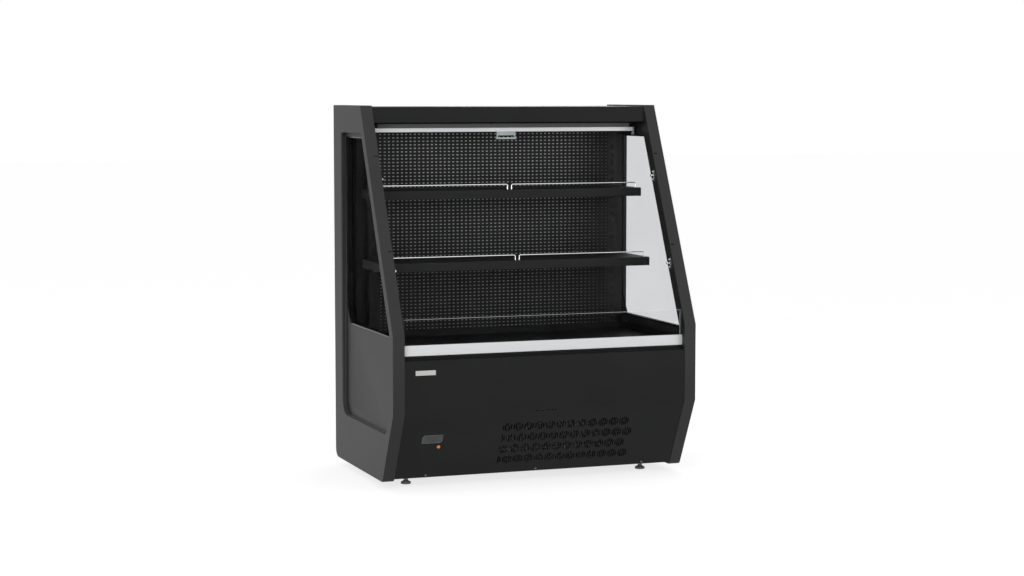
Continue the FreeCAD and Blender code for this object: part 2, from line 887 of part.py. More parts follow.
def canopy_fascia():
    """Bent front sheet of the canopy that hides the blind cassette."""
    foot = "(canopy_top - fascia_height)"
    lean_y = "(top_front_y - fascia_lean)"
    section = [
        ("canopy_y", "canopy_top"),
        ("top_front_y", "canopy_top"),
        (lean_y, foot),
        (f"{lean_y} + fascia_return", foot),
        (f"{lean_y} + fascia_return", f"{foot} + fascia_lip"),
        (f"{lean_y} + fascia_return - sheet", f"{foot} + fascia_lip"),
        (f"{lean_y} + fascia_return - sheet", f"{foot} + sheet"),
        (f"{lean_y} + fascia_run + sheet * fascia_slant", f"{foot} + sheet"),
        ("top_front_y + fascia_run - sheet * fascia_slant", "canopy_top - sheet"),
        ("canopy_y", "canopy_top - sheet"),
    ]
    return piece(prism("canopy_fascia", "YZ", section, "-seam_half", "seam_half"))


def air_outlet():
    """Honeycomb at the top of the air curtain, as one row of long cells."""
    reach = "(seam_half - outlet_wall)"
    pitch = f"((2 * {reach} - outlet_wall) / outlet_cells)"
    depth = ("outlet_y", "outlet_y + outlet_depth")
    frame = rectangle("-seam_half", "seam_half", *depth)
    body = prism("air_outlet_honeycomb", "XY", frame, "outlet_base", "canopy_base")
    cell = rectangle(
        f"-{reach} + outlet_wall", f"-{reach} + {pitch}",
        f"{depth[0]} + outlet_wall", f"{depth[1]} - outlet_wall")
    first = pocket(body, "XY", cell, "outlet_base", "canopy_base")
    repeat(body, first, "X_Axis", pitch, "outlet_cells")
    return piece(body)


def canopy_lamp():
    """Lamp strip on the front of the blind cassette."""
    reach = "(inner_half - lamp_side_gap)"
    y = ("cassette_y - lamp_depth", "cassette_y")
    z = ("cassette_base + sheet", "cassette_base + sheet + lamp_height")
    return piece(block("canopy_lamp", (f"-{reach}", reach), y, z))


# ---------------------------------------------------------------- night blind

def blind_cassette():
    """Box section with a mouth for the fabric and end plates that carry the roller."""
    wall = "cassette_wall"
    mouth_front = "(blind_y - cassette_mouth_front)"
    mouth_rear = "(blind_y + cassette_mouth_rear)"
    section = [
        (mouth_front, "cassette_base"),
        ("cassette_y", "cassette_base"),
        ("cassette_y", "canopy_ceiling"),
        ("cassette_end_y", "canopy_ceiling"),
        ("cassette_end_y", "cassette_base"),
        (mouth_rear, "cassette_base"),
        (mouth_rear, f"cassette_base + {wall}"),
        (f"cassette_end_y - {wall}", f"cassette_base + {wall}"),
        (f"cassette_end_y - {wall}", f"canopy_ceiling - {wall}"),
        (f"cassette_y + {wall}", f"canopy_ceiling - {wall}"),
        (f"cassette_y + {wall}", f"cassette_base + {wall}"),
        (mouth_front, f"cassette_base + {wall}"),
    ]
    reach = "cassette_half"
    trough = prism("cassette_trough", "YZ", section, f"-{reach}", reach)
    plates = []
    bores = []
    for word, side in (("left", -1), ("right", 1)):
        ends = sided(side, reach, f"{reach} + cassette_end")
        depth = ("cassette_y", "cassette_end_y")
        plates.append(block(f"cassette_{word}_end", ends, depth, ("cassette_base", "canopy_ceiling")))
        bore = "roller_pin_radius + pin_clearance"
        bores.append(rod(f"cassette_{word}_bore", "x", ("roller_y", "roller_z"), bore, *beyond(*ends)))
    return piece(cut("blind_cassette", fuse("cassette_box", [trough, *plates]), bores))


def blind_roller():
    """Spring roller on two pins, and the fabric wound on it."""
    centre = ("roller_y", "roller_z")
    reach = "(cassette_half - roller_end_gap)"
    barrel = rod("roller_barrel", "x", centre, "roller_radius", f"-{reach}", reach)
    pins = []
    for word, side in (("left", -1), ("right", 1)):
        ends = sided(side, reach, f"{reach} + roller_pin_length")
        pins.append(rod(f"roller_{word}_pin", "x", centre, "roller_pin_radius", *ends))
    piece(fuse("blind_roller", [barrel, *pins]))
    half = "blind_half"
    wound = rod("wound_fabric", "x", centre, "roll_radius", f"-{half}", half)
    core = rod("wound_core", "x", centre, "roller_radius", *beyond(f"-{half}", half))
    piece(cut("blind_roll", wound, [core]))


def blind_bar():
    """Free edge of the blind: pull bar, end hooks and handle."""
    half = "blind_half"
    fabric = ("blind_y - fabric_thickness / 2", "blind_y + fabric_thickness / 2")
    piece(block("blind_sheet", (f"-{half}", half), fabric, ("bar_top_z", "roller_z")))
    reach = "bar_half"
    bar = rectangle("bar_y", "bar_y + bar_depth", "bar_base_z", "bar_top_z")
    piece(prism("blind_bar", "YZ", bar, f"-{reach}", reach))
    hook = [
        ("bar_y", "bar_top_z"),
        ("bar_y", "bar_base_z - hook_drop"),
        ("bar_y + bar_depth", "bar_base_z - hook_drop"),
        ("bar_y + bar_depth", "bar_base_z - hook_jaw"),
        ("bar_y + bar_depth - hook_wall", "bar_base_z - hook_jaw"),
        ("bar_y + bar_depth - hook_wall", "bar_base_z - hook_drop + hook_wall"),
        ("bar_y + hook_wall", "bar_base_z - hook_drop + hook_wall"),
        ("bar_y + hook_wall", "bar_base_z"),
        ("bar_y + bar_depth", "bar_base_z"),
        ("bar_y + bar_depth", "bar_top_z"),
    ]
    hooks = [
        prism(f"hook_{word}", "YZ", hook, *sided(side, reach, f"{reach} + hook_thickness"))
        for word, side in (("left", -1), ("right", 1))
    ]
    piece(group("blind_bar_hooks", hooks))
    plate_base = "(bar_base_z - handle_plate)"
    grip_top = "(handle_base + grip_height)"
    handle = [
        ("-handle_width / 2", "bar_base_z"),
        ("-handle_width / 2", grip_top),
        ("-grip_width / 2", grip_top),
        ("-grip_width / 2", "handle_base"),
        ("grip_width / 2", "handle_base"),
        ("grip_width / 2", grip_top),
        ("handle_width / 2", grip_top),
        ("handle_width / 2", "bar_base_z"),
    ]
    slot = rectangle("-handle_width / 2 + handle_leg", "handle_width / 2 - handle_leg", grip_top, plate_base)
    piece(prism("blind_handle", "XZ", handle, "handle_y", "handle_y + handle_depth", holes=[slot]))


def blind_catches():
    """Four metal catches near the front edge that hold the lowered blind's hooks."""
    catches = []
    for word, side in (("left", -1), ("right", 1)):
        for level in ("upper", "lower"):
            height = f"(foot_gap + {level}_catch)"
            middle = "(" + on_slant(height, "catch_setback") + ")"
            along = (f"{middle} - catch_width / 2", f"{middle} + catch_width / 2")
            upright = (f"{height} - catch_height / 2", f"{height} + catch_height / 2")
            across = sided(side, "inner_half - catch_plate", "inner_half")
            plate = block(f"{level}_{word}_plate", across, along, upright)
            reach = sided(side, "inner_half - catch_reach", "inner_half - catch_plate")
            peg = rod(f"{level}_{word}_peg", "x", (middle, height), "catch_peg_radius", *reach)
            catches.append(fuse(f"{level}_{word}_catch", [plate, peg]))
    return piece(group("blind_catches", catches))


# ---------------------------------------------------------------- display interior

def uprights():
    """Slotted sheet uprights with a side flange and arms back to the rear wall."""
    posts = []
    for word, side in (("left", -1), ("right", 1)):
        near, far = "(upright_centre - upright_width / 2)", "(upright_centre + upright_width / 2)"
        outline = [
            (near, "back_y"),
            (near, "back_y + upright_depth"),
            (f"{near} + upright_sheet", "back_y + upright_depth"),
            (f"{near} + upright_sheet", "back_y + upright_sheet"),
            (f"{far} - upright_sheet", "back_y + upright_sheet"),
            (f"{far} - upright_sheet", "back_y + upright_depth"),
            ("seam_half", "back_y + upright_depth"),
            ("seam_half", "back_y + upright_depth - upright_sheet"),
            (far, "back_y + upright_depth - upright_sheet"),
            (far, "back_y"),
        ]
        outline = [(f"{side} * ({u})", v) for u, v in outline]
        body = prism("upright_" + word, "XY", outline, "tub_top", "panel_ceiling")
        middle = f"{side} * upright_centre"
        opening = rectangle(
            f"{middle} - upright_slot_width / 2", f"{middle} + upright_slot_width / 2",
            "first_slot", "first_slot + upright_slot_height")
        first = pocket(body, "XZ", opening, *beyond("back_y", "back_y + upright_sheet"))
        repeat(body, first, "Z_Axis", "slot_pitch", "slot_count")
        arms = []
        for level in range(int(number("upright_arms"))):
            foot = f"(tub_top + (panel_ceiling - tub_top) * ({level} + 0.5) / upright_arms)"
            ends = sided(side, f"{near} + upright_sheet", f"{near} + upright_sheet + upright_arm")
            depth = ("back_y + upright_sheet + upright_arm_gap", "back_wall_y")
            arms.append(block(f"{word}_arm_{level}", ends, depth, (foot, f"{foot} + upright_arm_height")))
        posts.append(fuse(f"post_{word}", [body, *arms]))
    return piece(group("uprights", posts))


def back_panel():
    """Back sheet between the uprights, bent forward at its head and foot."""
    edge = "upright_centre - upright_width / 2"
    foot = "(deck_base - back_panel_sheet)"
    section = [
        ("back_y - pan_ledge", foot),
        ("back_y + back_panel_sheet", foot),
        ("back_y + back_panel_sheet", "panel_ceiling"),
        ("back_y - back_panel_flange", "panel_ceiling"),
        ("back_y - back_panel_flange", "panel_ceiling - back_panel_sheet"),
        ("back_y", "panel_ceiling - back_panel_sheet"),
        ("back_y", "deck_base"),
        ("back_y - pan_ledge", "deck_base"),
    ]
    return piece(prism("back_panel", "YZ", section, f"-({edge})", edge))


def shelf(level):
    """A shelf tray, its two brackets hooked into the uprights and its wire stops."""
    slot = f"(first_slot + {level}_shelf_slot * slot_pitch)"
    seat = f"({slot} + bracket_seat)"
    top = f"({seat} + sheet)"
    rear = "(back_y - shelf_rear_gap)"
    front = f"({rear} - {level}_shelf_depth)"
    reach = "(inner_half - shelf_side_gap)"
    name = "shelf_" + level
    tray = rectangle(f"-{reach}", reach, front, rear)
    body = prism(name, "XY", tray, f"{top} - shelf_lip", top)
    past_rear = beyond(front, rear)[1]
    hollow = rectangle(f"-{reach} + sheet", f"{reach} - sheet", f"{front} + sheet", past_rear)
    pocket(body, "XY", hollow, f"{top} - shelf_lip", seat)
    piece(body)
    heel = "(back_y - bracket_rear_gap)"
    neck = "(back_y + upright_sheet + hook_grip_gap)"
    tip = f"({neck} + hook_tip)"
    nose = f"({front} + bracket_nose_inset)"
    outline = [(nose, seat), (nose, f"{seat} - bracket_nose"), (heel, f"{seat} - bracket_heel")]
    for below in ("1", "0"):
        base = f"({slot} - {below} * slot_pitch)"
        outline += [
            (heel, f"{base} + hook_rest_gap"),
            (neck, f"{base} + hook_rest_gap"),
            (neck, f"{base} - hook_below_slot"),
            (tip, f"{base} - hook_below_slot"),
            (tip, f"{base} + hook_above_slot"),
            (heel, f"{base} + hook_above_slot"),
        ]
    outline.append((heel, seat))
    brackets = []
    half = "bracket_thickness / 2"
    for word, side in (("left", -1), ("right", 1)):
        ends = sided(side, f"upright_centre - {half}", f"upright_centre + {half}")
        brackets.append(prism(f"{level}_{word}_bracket", "YZ", outline, *ends))
    piece(group(name + "_brackets", brackets))
    wire_y = number(f"{front} + wire_setback")
    wires = []
    for word, side in (("left", -1), ("right", 1)):
        near, far = side * number("wire_centre_gap"), side * number("inner_half - wire_side_gap")
        foot, crown = number(top), number(f"{top} + wire_height")
        route = [Vector(near, wire_y, foot), Vector(near, wire_y, crown),
                 Vector(far, wire_y, crown), Vector(far, wire_y, foot)]
        wires.append(bent_rod(f"{level}_{word}_wire", route, number("wire_radius"), number("wire_bend")))
    piece(group(name + "_wire_stops", wires))


def bent_rod(name, route, radius, bend):
    """A round rod along straight runs that are joined by tangent arcs."""
    edges = []
    start = route[0]
    for before, corner, after in zip(route, route[1:], route[2:]):
        inward = (before - corner).normalize()
        outward = (after - corner).normalize()
        half_turn = inward.getAngle(outward) / 2
        reach = bend / math.tan(half_turn)
        bisector = (inward + outward).normalize()
        centre_distance = (reach ** 2 + bend ** 2) ** 0.5
        entry = corner + inward * reach
        leave = corner + outward * reach
        middle = corner + bisector * (centre_distance - bend)
        edges.append(Part.LineSegment(start, entry).toShape())
        edges.append(Part.Arc(entry, middle, leave).toShape())
        start = leave
    edges.append(Part.LineSegment(start, route[-1]).toShape())
    path = Part.Wire(edges)
    section = Part.Wire(Part.Circle(route[0], route[1] - route[0], radius).toShape())
    item = doc.addObject("Part::Feature", name)
    item.Shape = path.makePipeShell([section], True, False)
    item.Placement = Placement()
    return item


def deck():
    """Two deck pans with raised outer and rear walls, and the return-air grille."""
    rear = "(back_y - pan_rear_gap)"
    pans = []
    for word, side in (("left", -1), ("right", 1)):
        ends = sided(side, "pan_gap / 2", "seam_half")
        z = ("deck_base", "deck_base + pan_wall")
        body = prism("pan_" + word, "XY", rectangle(*ends, "pan_front_y", rear), *z)
        hollow = sided(side, f"pan_gap / 2 - {OVERCUT}", "seam_half - sheet")
        inside = rectangle(*hollow, f"pan_front_y - {OVERCUT}", f"{rear} - sheet")
        pocket(body, "XY", inside, "deck_top", z[1])
        pans.append(body)
    piece(group("deck_pans", pans))
    front = "(pan_front_y - grille_width)"
    sheet_outline = rectangle("-seam_half", "seam_half", front, "pan_front_y")
    body = prism("return_air_grille", "XY", sheet_outline, "deck_base", "deck_top")
    pitch = "(2 * (seam_half - grille_margin) / grille_slots)"
    left = f"(-seam_half + grille_margin + {pitch} / 2 - grille_slot_width / 2)"
    middle = f"({front} + grille_width / 2)"
    slot = rectangle(left, f"{left} + grille_slot_width",
                     f"{middle} - grille_slot_length / 2", f"{middle} + grille_slot_length / 2")
    first = pocket(body, "XY", slot, *beyond("deck_base", "deck_top"))
    repeat(body, first, "X_Axis", pitch, "grille_slots")
    piece(body)


def bumper_and_riser():
    """Rail with its strip, the bumper on it, and the riser glass between two holders."""
    slot_front = "(glass_y - glass_clearance)"
    slot_rear = "(glass_y + glass_thickness + glass_clearance)"
    rail = [
        ("rail_y", "rail_base_z"),
        ("rail_rear_y", "rail_base_z"),
        ("rail_rear_y", "bumper_top - rail_back_drop"),
        (slot_rear, "bumper_top - rail_back_drop"),
        (slot_rear, "glass_base"),
        (slot_front, "glass_base"),
        (slot_front, "bumper_base"),
        ("rail_y", "bumper_base"),
    ]
    piece(prism("bumper_rail", "YZ", rail, "-seam_half", "seam_half"))
    face = rectangle("bumper_y", f"{slot_front}", "bumper_base", "bumper_top")
    body = prism("bumper", "YZ", face, "-seam_half", "seam_half")
    fillet(body, "YZ", [("bumper_y", z, "bumper_radius") for z in ("bumper_base", "bumper_top")])
    piece(body)
    glass_y = ("glass_y", "glass_y + glass_thickness")
    reach = "(seam_half - holder_width)"
    piece(block("riser_glass", (f"-{reach}", reach), glass_y, ("glass_base", "glass_top")))
    middle = "(glass_y + glass_thickness / 2)"
    depth = (f"{middle} - holder_depth / 2", f"{middle} + holder_depth / 2")
    holders = [
        block(f"holder_{word}", sided(side, reach, "seam_half"), depth, ("bumper_top", "glass_top"))
        for word, side in (("left", -1), ("right", 1))
    ]
    piece(group("riser_glass_holders", holders))


# ---------------------------------------------------------------- front panel and controls

def vent_slots():
    """Slots of the condenser's air inlet: round clusters of upright slots in staggered rows.

    Each shifted row starts with the right half of a cluster.
    """
    step = "(vent_slot + vent_web)"
    outermost = int(number("vent_slots_each_side"))
    through = beyond("0", "sheet")
    tools = []
    for row in range(int(number("vent_rows"))):
        drop = f"(vent_first_row + {row} * vent_row_pitch)"
        shift = row % 2
        for column in range(-shift, int(number("vent_columns"))):
            centre = f"(-half_width + vent_left + ({column} + {shift} / 2) * vent_pitch)"
            for bar in range(1 if column < 0 else -outermost, outermost + 1):
                x = f"({centre} + {bar} * {step})"
                half = f"sqrt(vent_radius ^ 2 - ({bar} * {step}) ^ 2)"
                ends = [(f"-{half}", half)]
                if bar == 0:
                    ends = [(f"-{half}", "-vent_middle_web / 2"), ("vent_middle_web / 2", half)]
                for low, high in ends:
                    across = (f"{x} - vent_slot / 2", f"{x} + vent_slot / 2")
                    upright = (f"-{drop} + {low}", f"-{drop} + {high}")
                    tools.append(block(f"vent_{row}_{column + shift}", across, through, upright))
    for column in range(int(number("small_vent_count"))):
        left = f"(-half_width + small_vent_left + {column} * small_vent_pitch)"
        across = (left, f"{left} + small_vent_width")
        upright = ("-small_vent_drop - small_vent_height", "-small_vent_drop")
        tools.append(block(f"small_vent_{column}", across, through, upright))
    return tools


def controller_outline(margin):
    """Rounded-off window of the controller, in the toe panel's own plane."""
    left = f"(-half_width + window_left - ({margin}))"
    right = f"(-half_width + window_left + window_width + ({margin}))"
    top = f"(-window_drop + ({margin}))"
    base = f"(-window_drop - window_height - ({margin}))"
    return [
        (left, base),
        (f"{right} - window_corner", base),
        (right, f"{base} + window_corner"),
        (right, top),
        (f"{left} + window_corner", top),
        (left, f"{top} - window_corner"),
    ]


def screw_spots():
    """Places of the three panel screws across X."""
    return ("-screw_spread", "0", "screw_spread")


def front_panel():
    """Black front sheet with a knee, vents, the controller window and the button hole."""
    toe_foot = "(" + on_toe("skin_base", "front_panel_setback") + ")"
    section = [
        ("skin_y + front_panel_flange", "skin_top"),
        ("skin_y", "skin_top"),
        ("skin_y", "lower_knee_z"),
        (toe_foot, "skin_base"),
        (f"{toe_foot} + front_panel_flange", "skin_base"),
        (f"{toe_foot} + front_panel_flange", "skin_base + sheet"),
        (f"{toe_foot} + skin_run - sheet * toe_slant", "skin_base + sheet"),
        ("skin_y + sheet", "lower_knee_z"),
        ("skin_y + sheet", "skin_top - sheet"),
        ("skin_y + front_panel_flange", "skin_top - sheet"),
    ]
    panel = prism("front_sheet", "YZ", section, "-seam_half", "seam_half")
    tools = vent_slots()
    window = doc.addObject("PartDesign::Body", "controller_opening")
    through = beyond("0", "sheet")
    pad(window, "XZ", [controller_outline("0")], *through)
    button = ("-half_width + button_left", "-button_drop")
    tools += [window, rod("button_opening", "y", button, "button_radius + button_gap", *through)]
    for index, x in enumerate(screw_spots()):
        spot = (x, f"-({toe_length()}) + screw_rise")
        opening = "screw_shank_radius + screw_clearance"
        tools.append(rod(f"screw_opening_{index}", "y", spot, opening, *through))
    return piece(cut("front_panel", panel, [on_toe_panel(group("toe_cuts", tools))]))


def toe_length():
    """Length of the sloping toe panel from its knee to its bottom edge."""
    return "(lower_knee_z - skin_base) / cos(toe_angle)"


def front_panel_screws():
    """Three pan-head screws along the toe panel's bottom edge."""
    screws = []
    for index, x in enumerate(screw_spots()):
        spot = (x, f"-({toe_length()}) + screw_rise")
        head = rod(f"screw_head_{index}", "y", spot, "screw_radius", "-screw_head", "0")
        shank = rod(f"screw_shank_{index}", "y", spot, "screw_shank_radius", "0", "screw_length")
        screws.append(on_toe_panel(fuse(f"screw_{index}", [head, shank])))
    return piece(group("front_panel_screws", screws))


def badge_plate():
    left = "(-half_width + badge_left)"
    base = "(skin_top - badge_drop)"
    y = ("skin_y - badge_thickness", "skin_y")
    return piece(block("badge_plate", (left, f"{left} + badge_width"), y, (base, f"{base} + badge_height")))


def controls():
    """Controller behind its window, and the light button in its socket."""
    body = doc.addObject("PartDesign::Body", "controller")
    pad(body, "XZ", [controller_outline("controller_frame")], "sheet", "sheet + controller_depth")
    pocket(body, "XZ", controller_outline("0"), "sheet", "sheet + controller_recess")
    piece(on_toe_panel(body))
    spot = ("-half_width + button_left", "-button_drop")
    outside = rod("socket_outside", "y", spot, "socket_radius", "sheet", "sheet + socket_depth")
    bore_end = "sheet + socket_depth - socket_wall"
    bore = rod("socket_bore", "y", spot, "button_radius + button_gap", "0", bore_end)
    piece(on_toe_panel(cut("button_socket", outside, [bore])))
    piece(on_toe_panel(group("light_button", [
        rod("button_cap", "y", spot, "button_radius", "-button_rise", "button_depth"),
    ])))


# ---------------------------------------------------------------- machine room

def rear_grille():
    """Louvred sheet that closes the machine room at the back."""
    reach = "(inner_half - rear_grille_inset)"
    y = ("back_face_y - sheet", "back_face_y")
    outline = rectangle(f"-{reach}", reach, "foot_gap + rear_grille_base", "tub_base")
    body = prism("rear_grille", "XZ", outline, *y)
    past = beyond(*y)
    for side in (-1, 0, 1):
        middle = f"({side} * rear_louvre_centre)"
        base = "(machine_floor + rear_louvre_rise)"
        width = "rear_louvre_width / 2"
        slot = rectangle(f"{middle} - {width}", f"{middle} + {width}", base, f"{base} + rear_louvre_height")
        first = pocket(body, "XZ", slot, *past)
        repeat(body, first, "Z_Axis", "rear_louvre_pitch", "rear_louvre_count")
    gland = (("-gland_x", "foot_gap + gland_height"), "gland_radius + seam")
    pocket(body, "XZ", [gland], *past)
    return piece(body)


def fan(name, centre, blade, hub_length, hub_radius, tip_radius):
    """Axial fan: a bored hub and blades of raked sheet, turning about Y."""
    body = doc.addObject("PartDesign::Body", name)
    chord, rake = blade
    sketch = sketch_on(body, "XZ", hub_length)
    add_circle(sketch, ("0", "0"), hub_radius)
    hub = body.newObject("PartDesign::Pad", name + "_hub")
    hub.Profile = sketch
    tie(hub, "Length", hub_length)
    doc.recompute()
    middle = f"({hub_length}) / 2"
    thick = "blade_sheet / 2"
    outline = [
        (f"-{chord} / 2", f"{middle} - {rake} / 2 - {thick}"),
        (f"{chord} / 2", f"{middle} + {rake} / 2 - {thick}"),
        (f"{chord} / 2", f"{middle} + {rake} / 2 + {thick}"),
        (f"-{chord} / 2", f"{middle} - {rake} / 2 + {thick}"),
    ]
    root, tip = f"{hub_radius} - blade_root_depth", f"sqrt({tip_radius} ^ 2 - ({chord} / 2) ^ 2)"
    blade_pad = pad(body, "XY", [outline], root, tip)
    ring = body.newObject("PartDesign::PolarPattern", name + "_blades")
    ring.Originals = [blade_pad]
    axis = [item for item in body.Origin.OriginFeatures if item.Role == "Y_Axis"][0]
    ring.Axis = (axis, [""])
    ring.Angle = 360
    tie(ring, "Occurrences", "fan_blades")
    body.Tip = ring
    doc.recompute()
    bore = (("0", "0"), "motor_shaft_radius + shaft_clearance")
    pocket(body, "XZ", [bore], *beyond("0", hub_length))
    for letter, place in zip("xyz", centre):
        tie(body, "Placement.Base." + letter, place)
    return piece(body)


def coil(name, x, y, z, fins):
    """Coil of thin fins between end plates, on tubes at quarters of its depth and sixths of its height."""
    low, high = (f"({place})" for place in x)
    parts = [
        block(name + "_near_plate", (low, f"{low} + coil_plate"), y, z),
        block(name + "_far_plate", (f"{high} - coil_plate", high), y, z),
    ]
    spacing = f"(({high} - {low} - 2 * coil_plate) / ({fins} + 1))"
    for index in range(1, int(number(fins)) + 1):
        start = f"({low} + coil_plate + {spacing} * {index} - fin_thickness / 2)"
        parts.append(block(f"{name}_fin", (start, f"{start} + fin_thickness"), y, z))
    for row in (1, 3):
        for level in (1, 3, 5):
            spot = (f"({y[0]}) * (4 - {row}) / 4 + ({y[1]}) * {row} / 4",
                    f"({z[0]}) * (6 - {level}) / 6 + ({z[1]}) * {level} / 6")
            parts.append(rod(f"{name}_tube", "x", spot, "coil_tube_radius", low, high))
    return piece(fuse(name, parts))


def condensing_unit():
    """Condenser with its shroud, motor and fan, and the compressor on rubber mounts."""
    x = ("condenser_x", "condenser_x + condenser_width")
    z = ("machine_floor", "machine_floor + condenser_height")
    coil("condenser_coil", x, ("condenser_y", "shroud_y"), z, "condenser_fins")
    centre = ("condenser_middle", "condenser_fan_z")
    hood = block("shroud_hood", x, ("shroud_y", "shroud_rear_y"), z)
    open_front, open_rear = beyond("shroud_y", "shroud_rear_y")
    inside = block("shroud_inside", (f"{x[0]} + shroud_wall", f"{x[1]} - shroud_wall"),
                   (open_front, "shroud_rear_y - shroud_wall"),
                   (f"{z[0]} + shroud_wall", f"{z[1]} - shroud_wall"))
    mouth = rod("shroud_mouth", "y", centre, "condenser_fan_radius + fan_tip_gap", open_front, open_rear)
    shell = cut("shroud_shell", hood, [inside, mouth])
    arms = []
    level = ("condenser_fan_z - motor_arm / 2", "condenser_fan_z + motor_arm / 2")
    ring = "(condenser_fan_radius + fan_tip_gap)"
    for side in (-1, 1):
        near = f"condenser_middle + {side} * condenser_motor_radius / 2"
        foot = f"condenser_middle + {side} * {ring}"
        far = f"condenser_middle + {side} * ({ring} + motor_arm)"
        post, reach = ((foot, far), (near, far)) if side > 0 else ((far, foot), (far, near))
        arms.append(block("shroud_post", post, ("shroud_rear_y", "condenser_motor_y + motor_arm"), level))
        arms.append(block("shroud_arm", reach, ("condenser_motor_y", "condenser_motor_y + motor_arm"), level))
    motor_end = "condenser_motor_y + condenser_motor_length"
    bed = rod("motor_bed", "y", centre, "condenser_motor_radius", "condenser_motor_y", motor_end)
    piece(fuse("condenser_fan_shroud", [shell, cut("motor_arms", fuse("arm_bars", arms), [bed])]))
    case = rod("motor_case", "y", centre, "condenser_motor_radius", "condenser_motor_y", motor_end)
    shaft = rod("motor_shaft", "y", centre, "motor_shaft_radius", "condenser_fan_y", "condenser_motor_y")
    piece(fuse("condenser_fan_motor", [case, shaft]))
    fan("condenser_fan", ("condenser_middle", "condenser_fan_y", "condenser_fan_z"),
        ("blade_chord", "blade_rake"), "hub_length", "condenser_hub_radius", "condenser_fan_radius")


def compressor():
    """Welded compressor shell on a plate, on four rubber mounts."""
    centre = ("compressor_x", "compressor_y")
    half_x, half_y = "compressor_plate_width / 2", "compressor_plate_depth / 2"
    plate_base = "(machine_floor + mount_height)"
    plate = block("compressor_foot", (f"compressor_x - {half_x}", f"compressor_x + {half_x}"),
                  (f"compressor_y - {half_y}", f"compressor_y + {half_y}"), (plate_base, "shell_base"))
    shells = []
    for word, inset in (("outer", "0"), ("inner", "compressor_shell")):
        base, top = f"shell_base + {inset}", "shell_base + compressor_height"
        wall = rod(f"compressor_{word}_wall", "z", centre, f"compressor_radius - {inset}", base, top)
        dome = doc.addObject("Part::Cone", f"compressor_{word}_dome")
        tie(dome, "Radius1", f"compressor_radius - {inset}")
        tie(dome, "Radius2", f"compressor_radius - {inset} - compressor_dome")
        tie(dome, "Height", f"compressor_dome - {inset}")
        tie(dome, "Placement.Base.x", centre[0])
        tie(dome, "Placement.Base.y", centre[1])
        tie(dome, "Placement.Base.z", top)
        shells.append(fuse(f"compressor_{word}", [wall, dome]))
    shell = cut("compressor_shell_wall", shells[0], [shells[1]])
    piece(fuse("compressor", [plate, shell]))
    mounts = []
    for side in (-1, 1):
        for end in (-1, 1):
            spot = (f"compressor_x + {side} * ({half_x} - mount_inset)",
                    f"compressor_y + {end} * ({half_y} - mount_inset)")
            mounts.append(rod("mount", "z", spot, "mount_radius", "machine_floor", plate_base))
    piece(group("compressor_mounts", mounts))


def machine_room_boxes():
    """Condensate tray and the electrical box with its cable gland."""
    x = ("tray_left", "tray_left + tray_width")
    y = ("tray_front", "tray_front + tray_length")
    body = prism("condensate_tray", "XY", rectangle(*x, *y), "machine_floor", "machine_floor + tray_height")
    inside = rectangle(f"{x[0]} + tray_wall", f"{x[1]} - tray_wall",
                       f"{y[0]} + tray_wall", f"{y[1]} - tray_wall")
    pocket(body, "XY", inside, "machine_floor + tray_wall", "machine_floor + tray_height")
    piece(body)
    box_x = ("-electrical_left - electrical_width", "-electrical_left")
    box_rear = "back_face_y - sheet - electrical_gap"
    box_y = (f"{box_rear} - electrical_depth", box_rear)
    box_z = ("machine_floor", "machine_floor + electrical_height")
    outside = block("electrical_outside", box_x, box_y, box_z)
    hollow = block("electrical_inside", *[(f"{low} + electrical_wall", f"{high} - electrical_wall")
                                          for low, high in (box_x, box_y, box_z)])
    shell = cut("electrical_shell", outside, [hollow])
    spot = ("-gland_x", "foot_gap + gland_height")
    gland = rod("cable_gland", "y", spot, "gland_radius", box_rear, "back_face_y")
    through = beyond(f"{box_rear} - electrical_wall", "back_face_y")
    throat = rod("gland_throat", "y", spot, "gland_radius / 2", *through)
    piece(cut("electrical_box", fuse("electrical_case", [shell, gland]), [throat]))


def refrigerant_pipes():
    """Suction pipe up to the evaporator and discharge pipe to the condenser."""
    radius, bend = number("pipe_radius"), number("pipe_bend")
    middle_x, middle_y = number("compressor_x"), number("compressor_y")
    surface = number("compressor_radius + pipe_touch")
    rise_x, low = number("suction_x"), number("suction_height")
    high, coil_y = number("evaporator_pipe_height"), number("evaporator_y + evaporator_depth / 4")
    suction = [
        Vector(middle_x + surface, middle_y, low),
        Vector(rise_x, middle_y, low),
        Vector(rise_x, middle_y, high),
        Vector(rise_x, coil_y, high),
        Vector(number("evaporator_reach + pipe_touch"), coil_y, high),
    ]
    level, side_x = number("discharge_height"), number("condenser_x - discharge_side_gap")
    front = number("condenser_y + condenser_depth / 2")
    discharge = [
        Vector(middle_x - surface, middle_y, level),
        Vector(side_x, middle_y, level),
        Vector(side_x, front, level),
        Vector(number("condenser_x - pipe_touch"), front, level),
    ]
    pipes = [
        bent_rod("suction_pipe", suction, radius, bend),
        bent_rod("discharge_pipe", discharge, radius, bend),
    ]
    piece(group("refrigerant_pipes", pipes))


# ---------------------------------------------------------------- evaporator under the deck

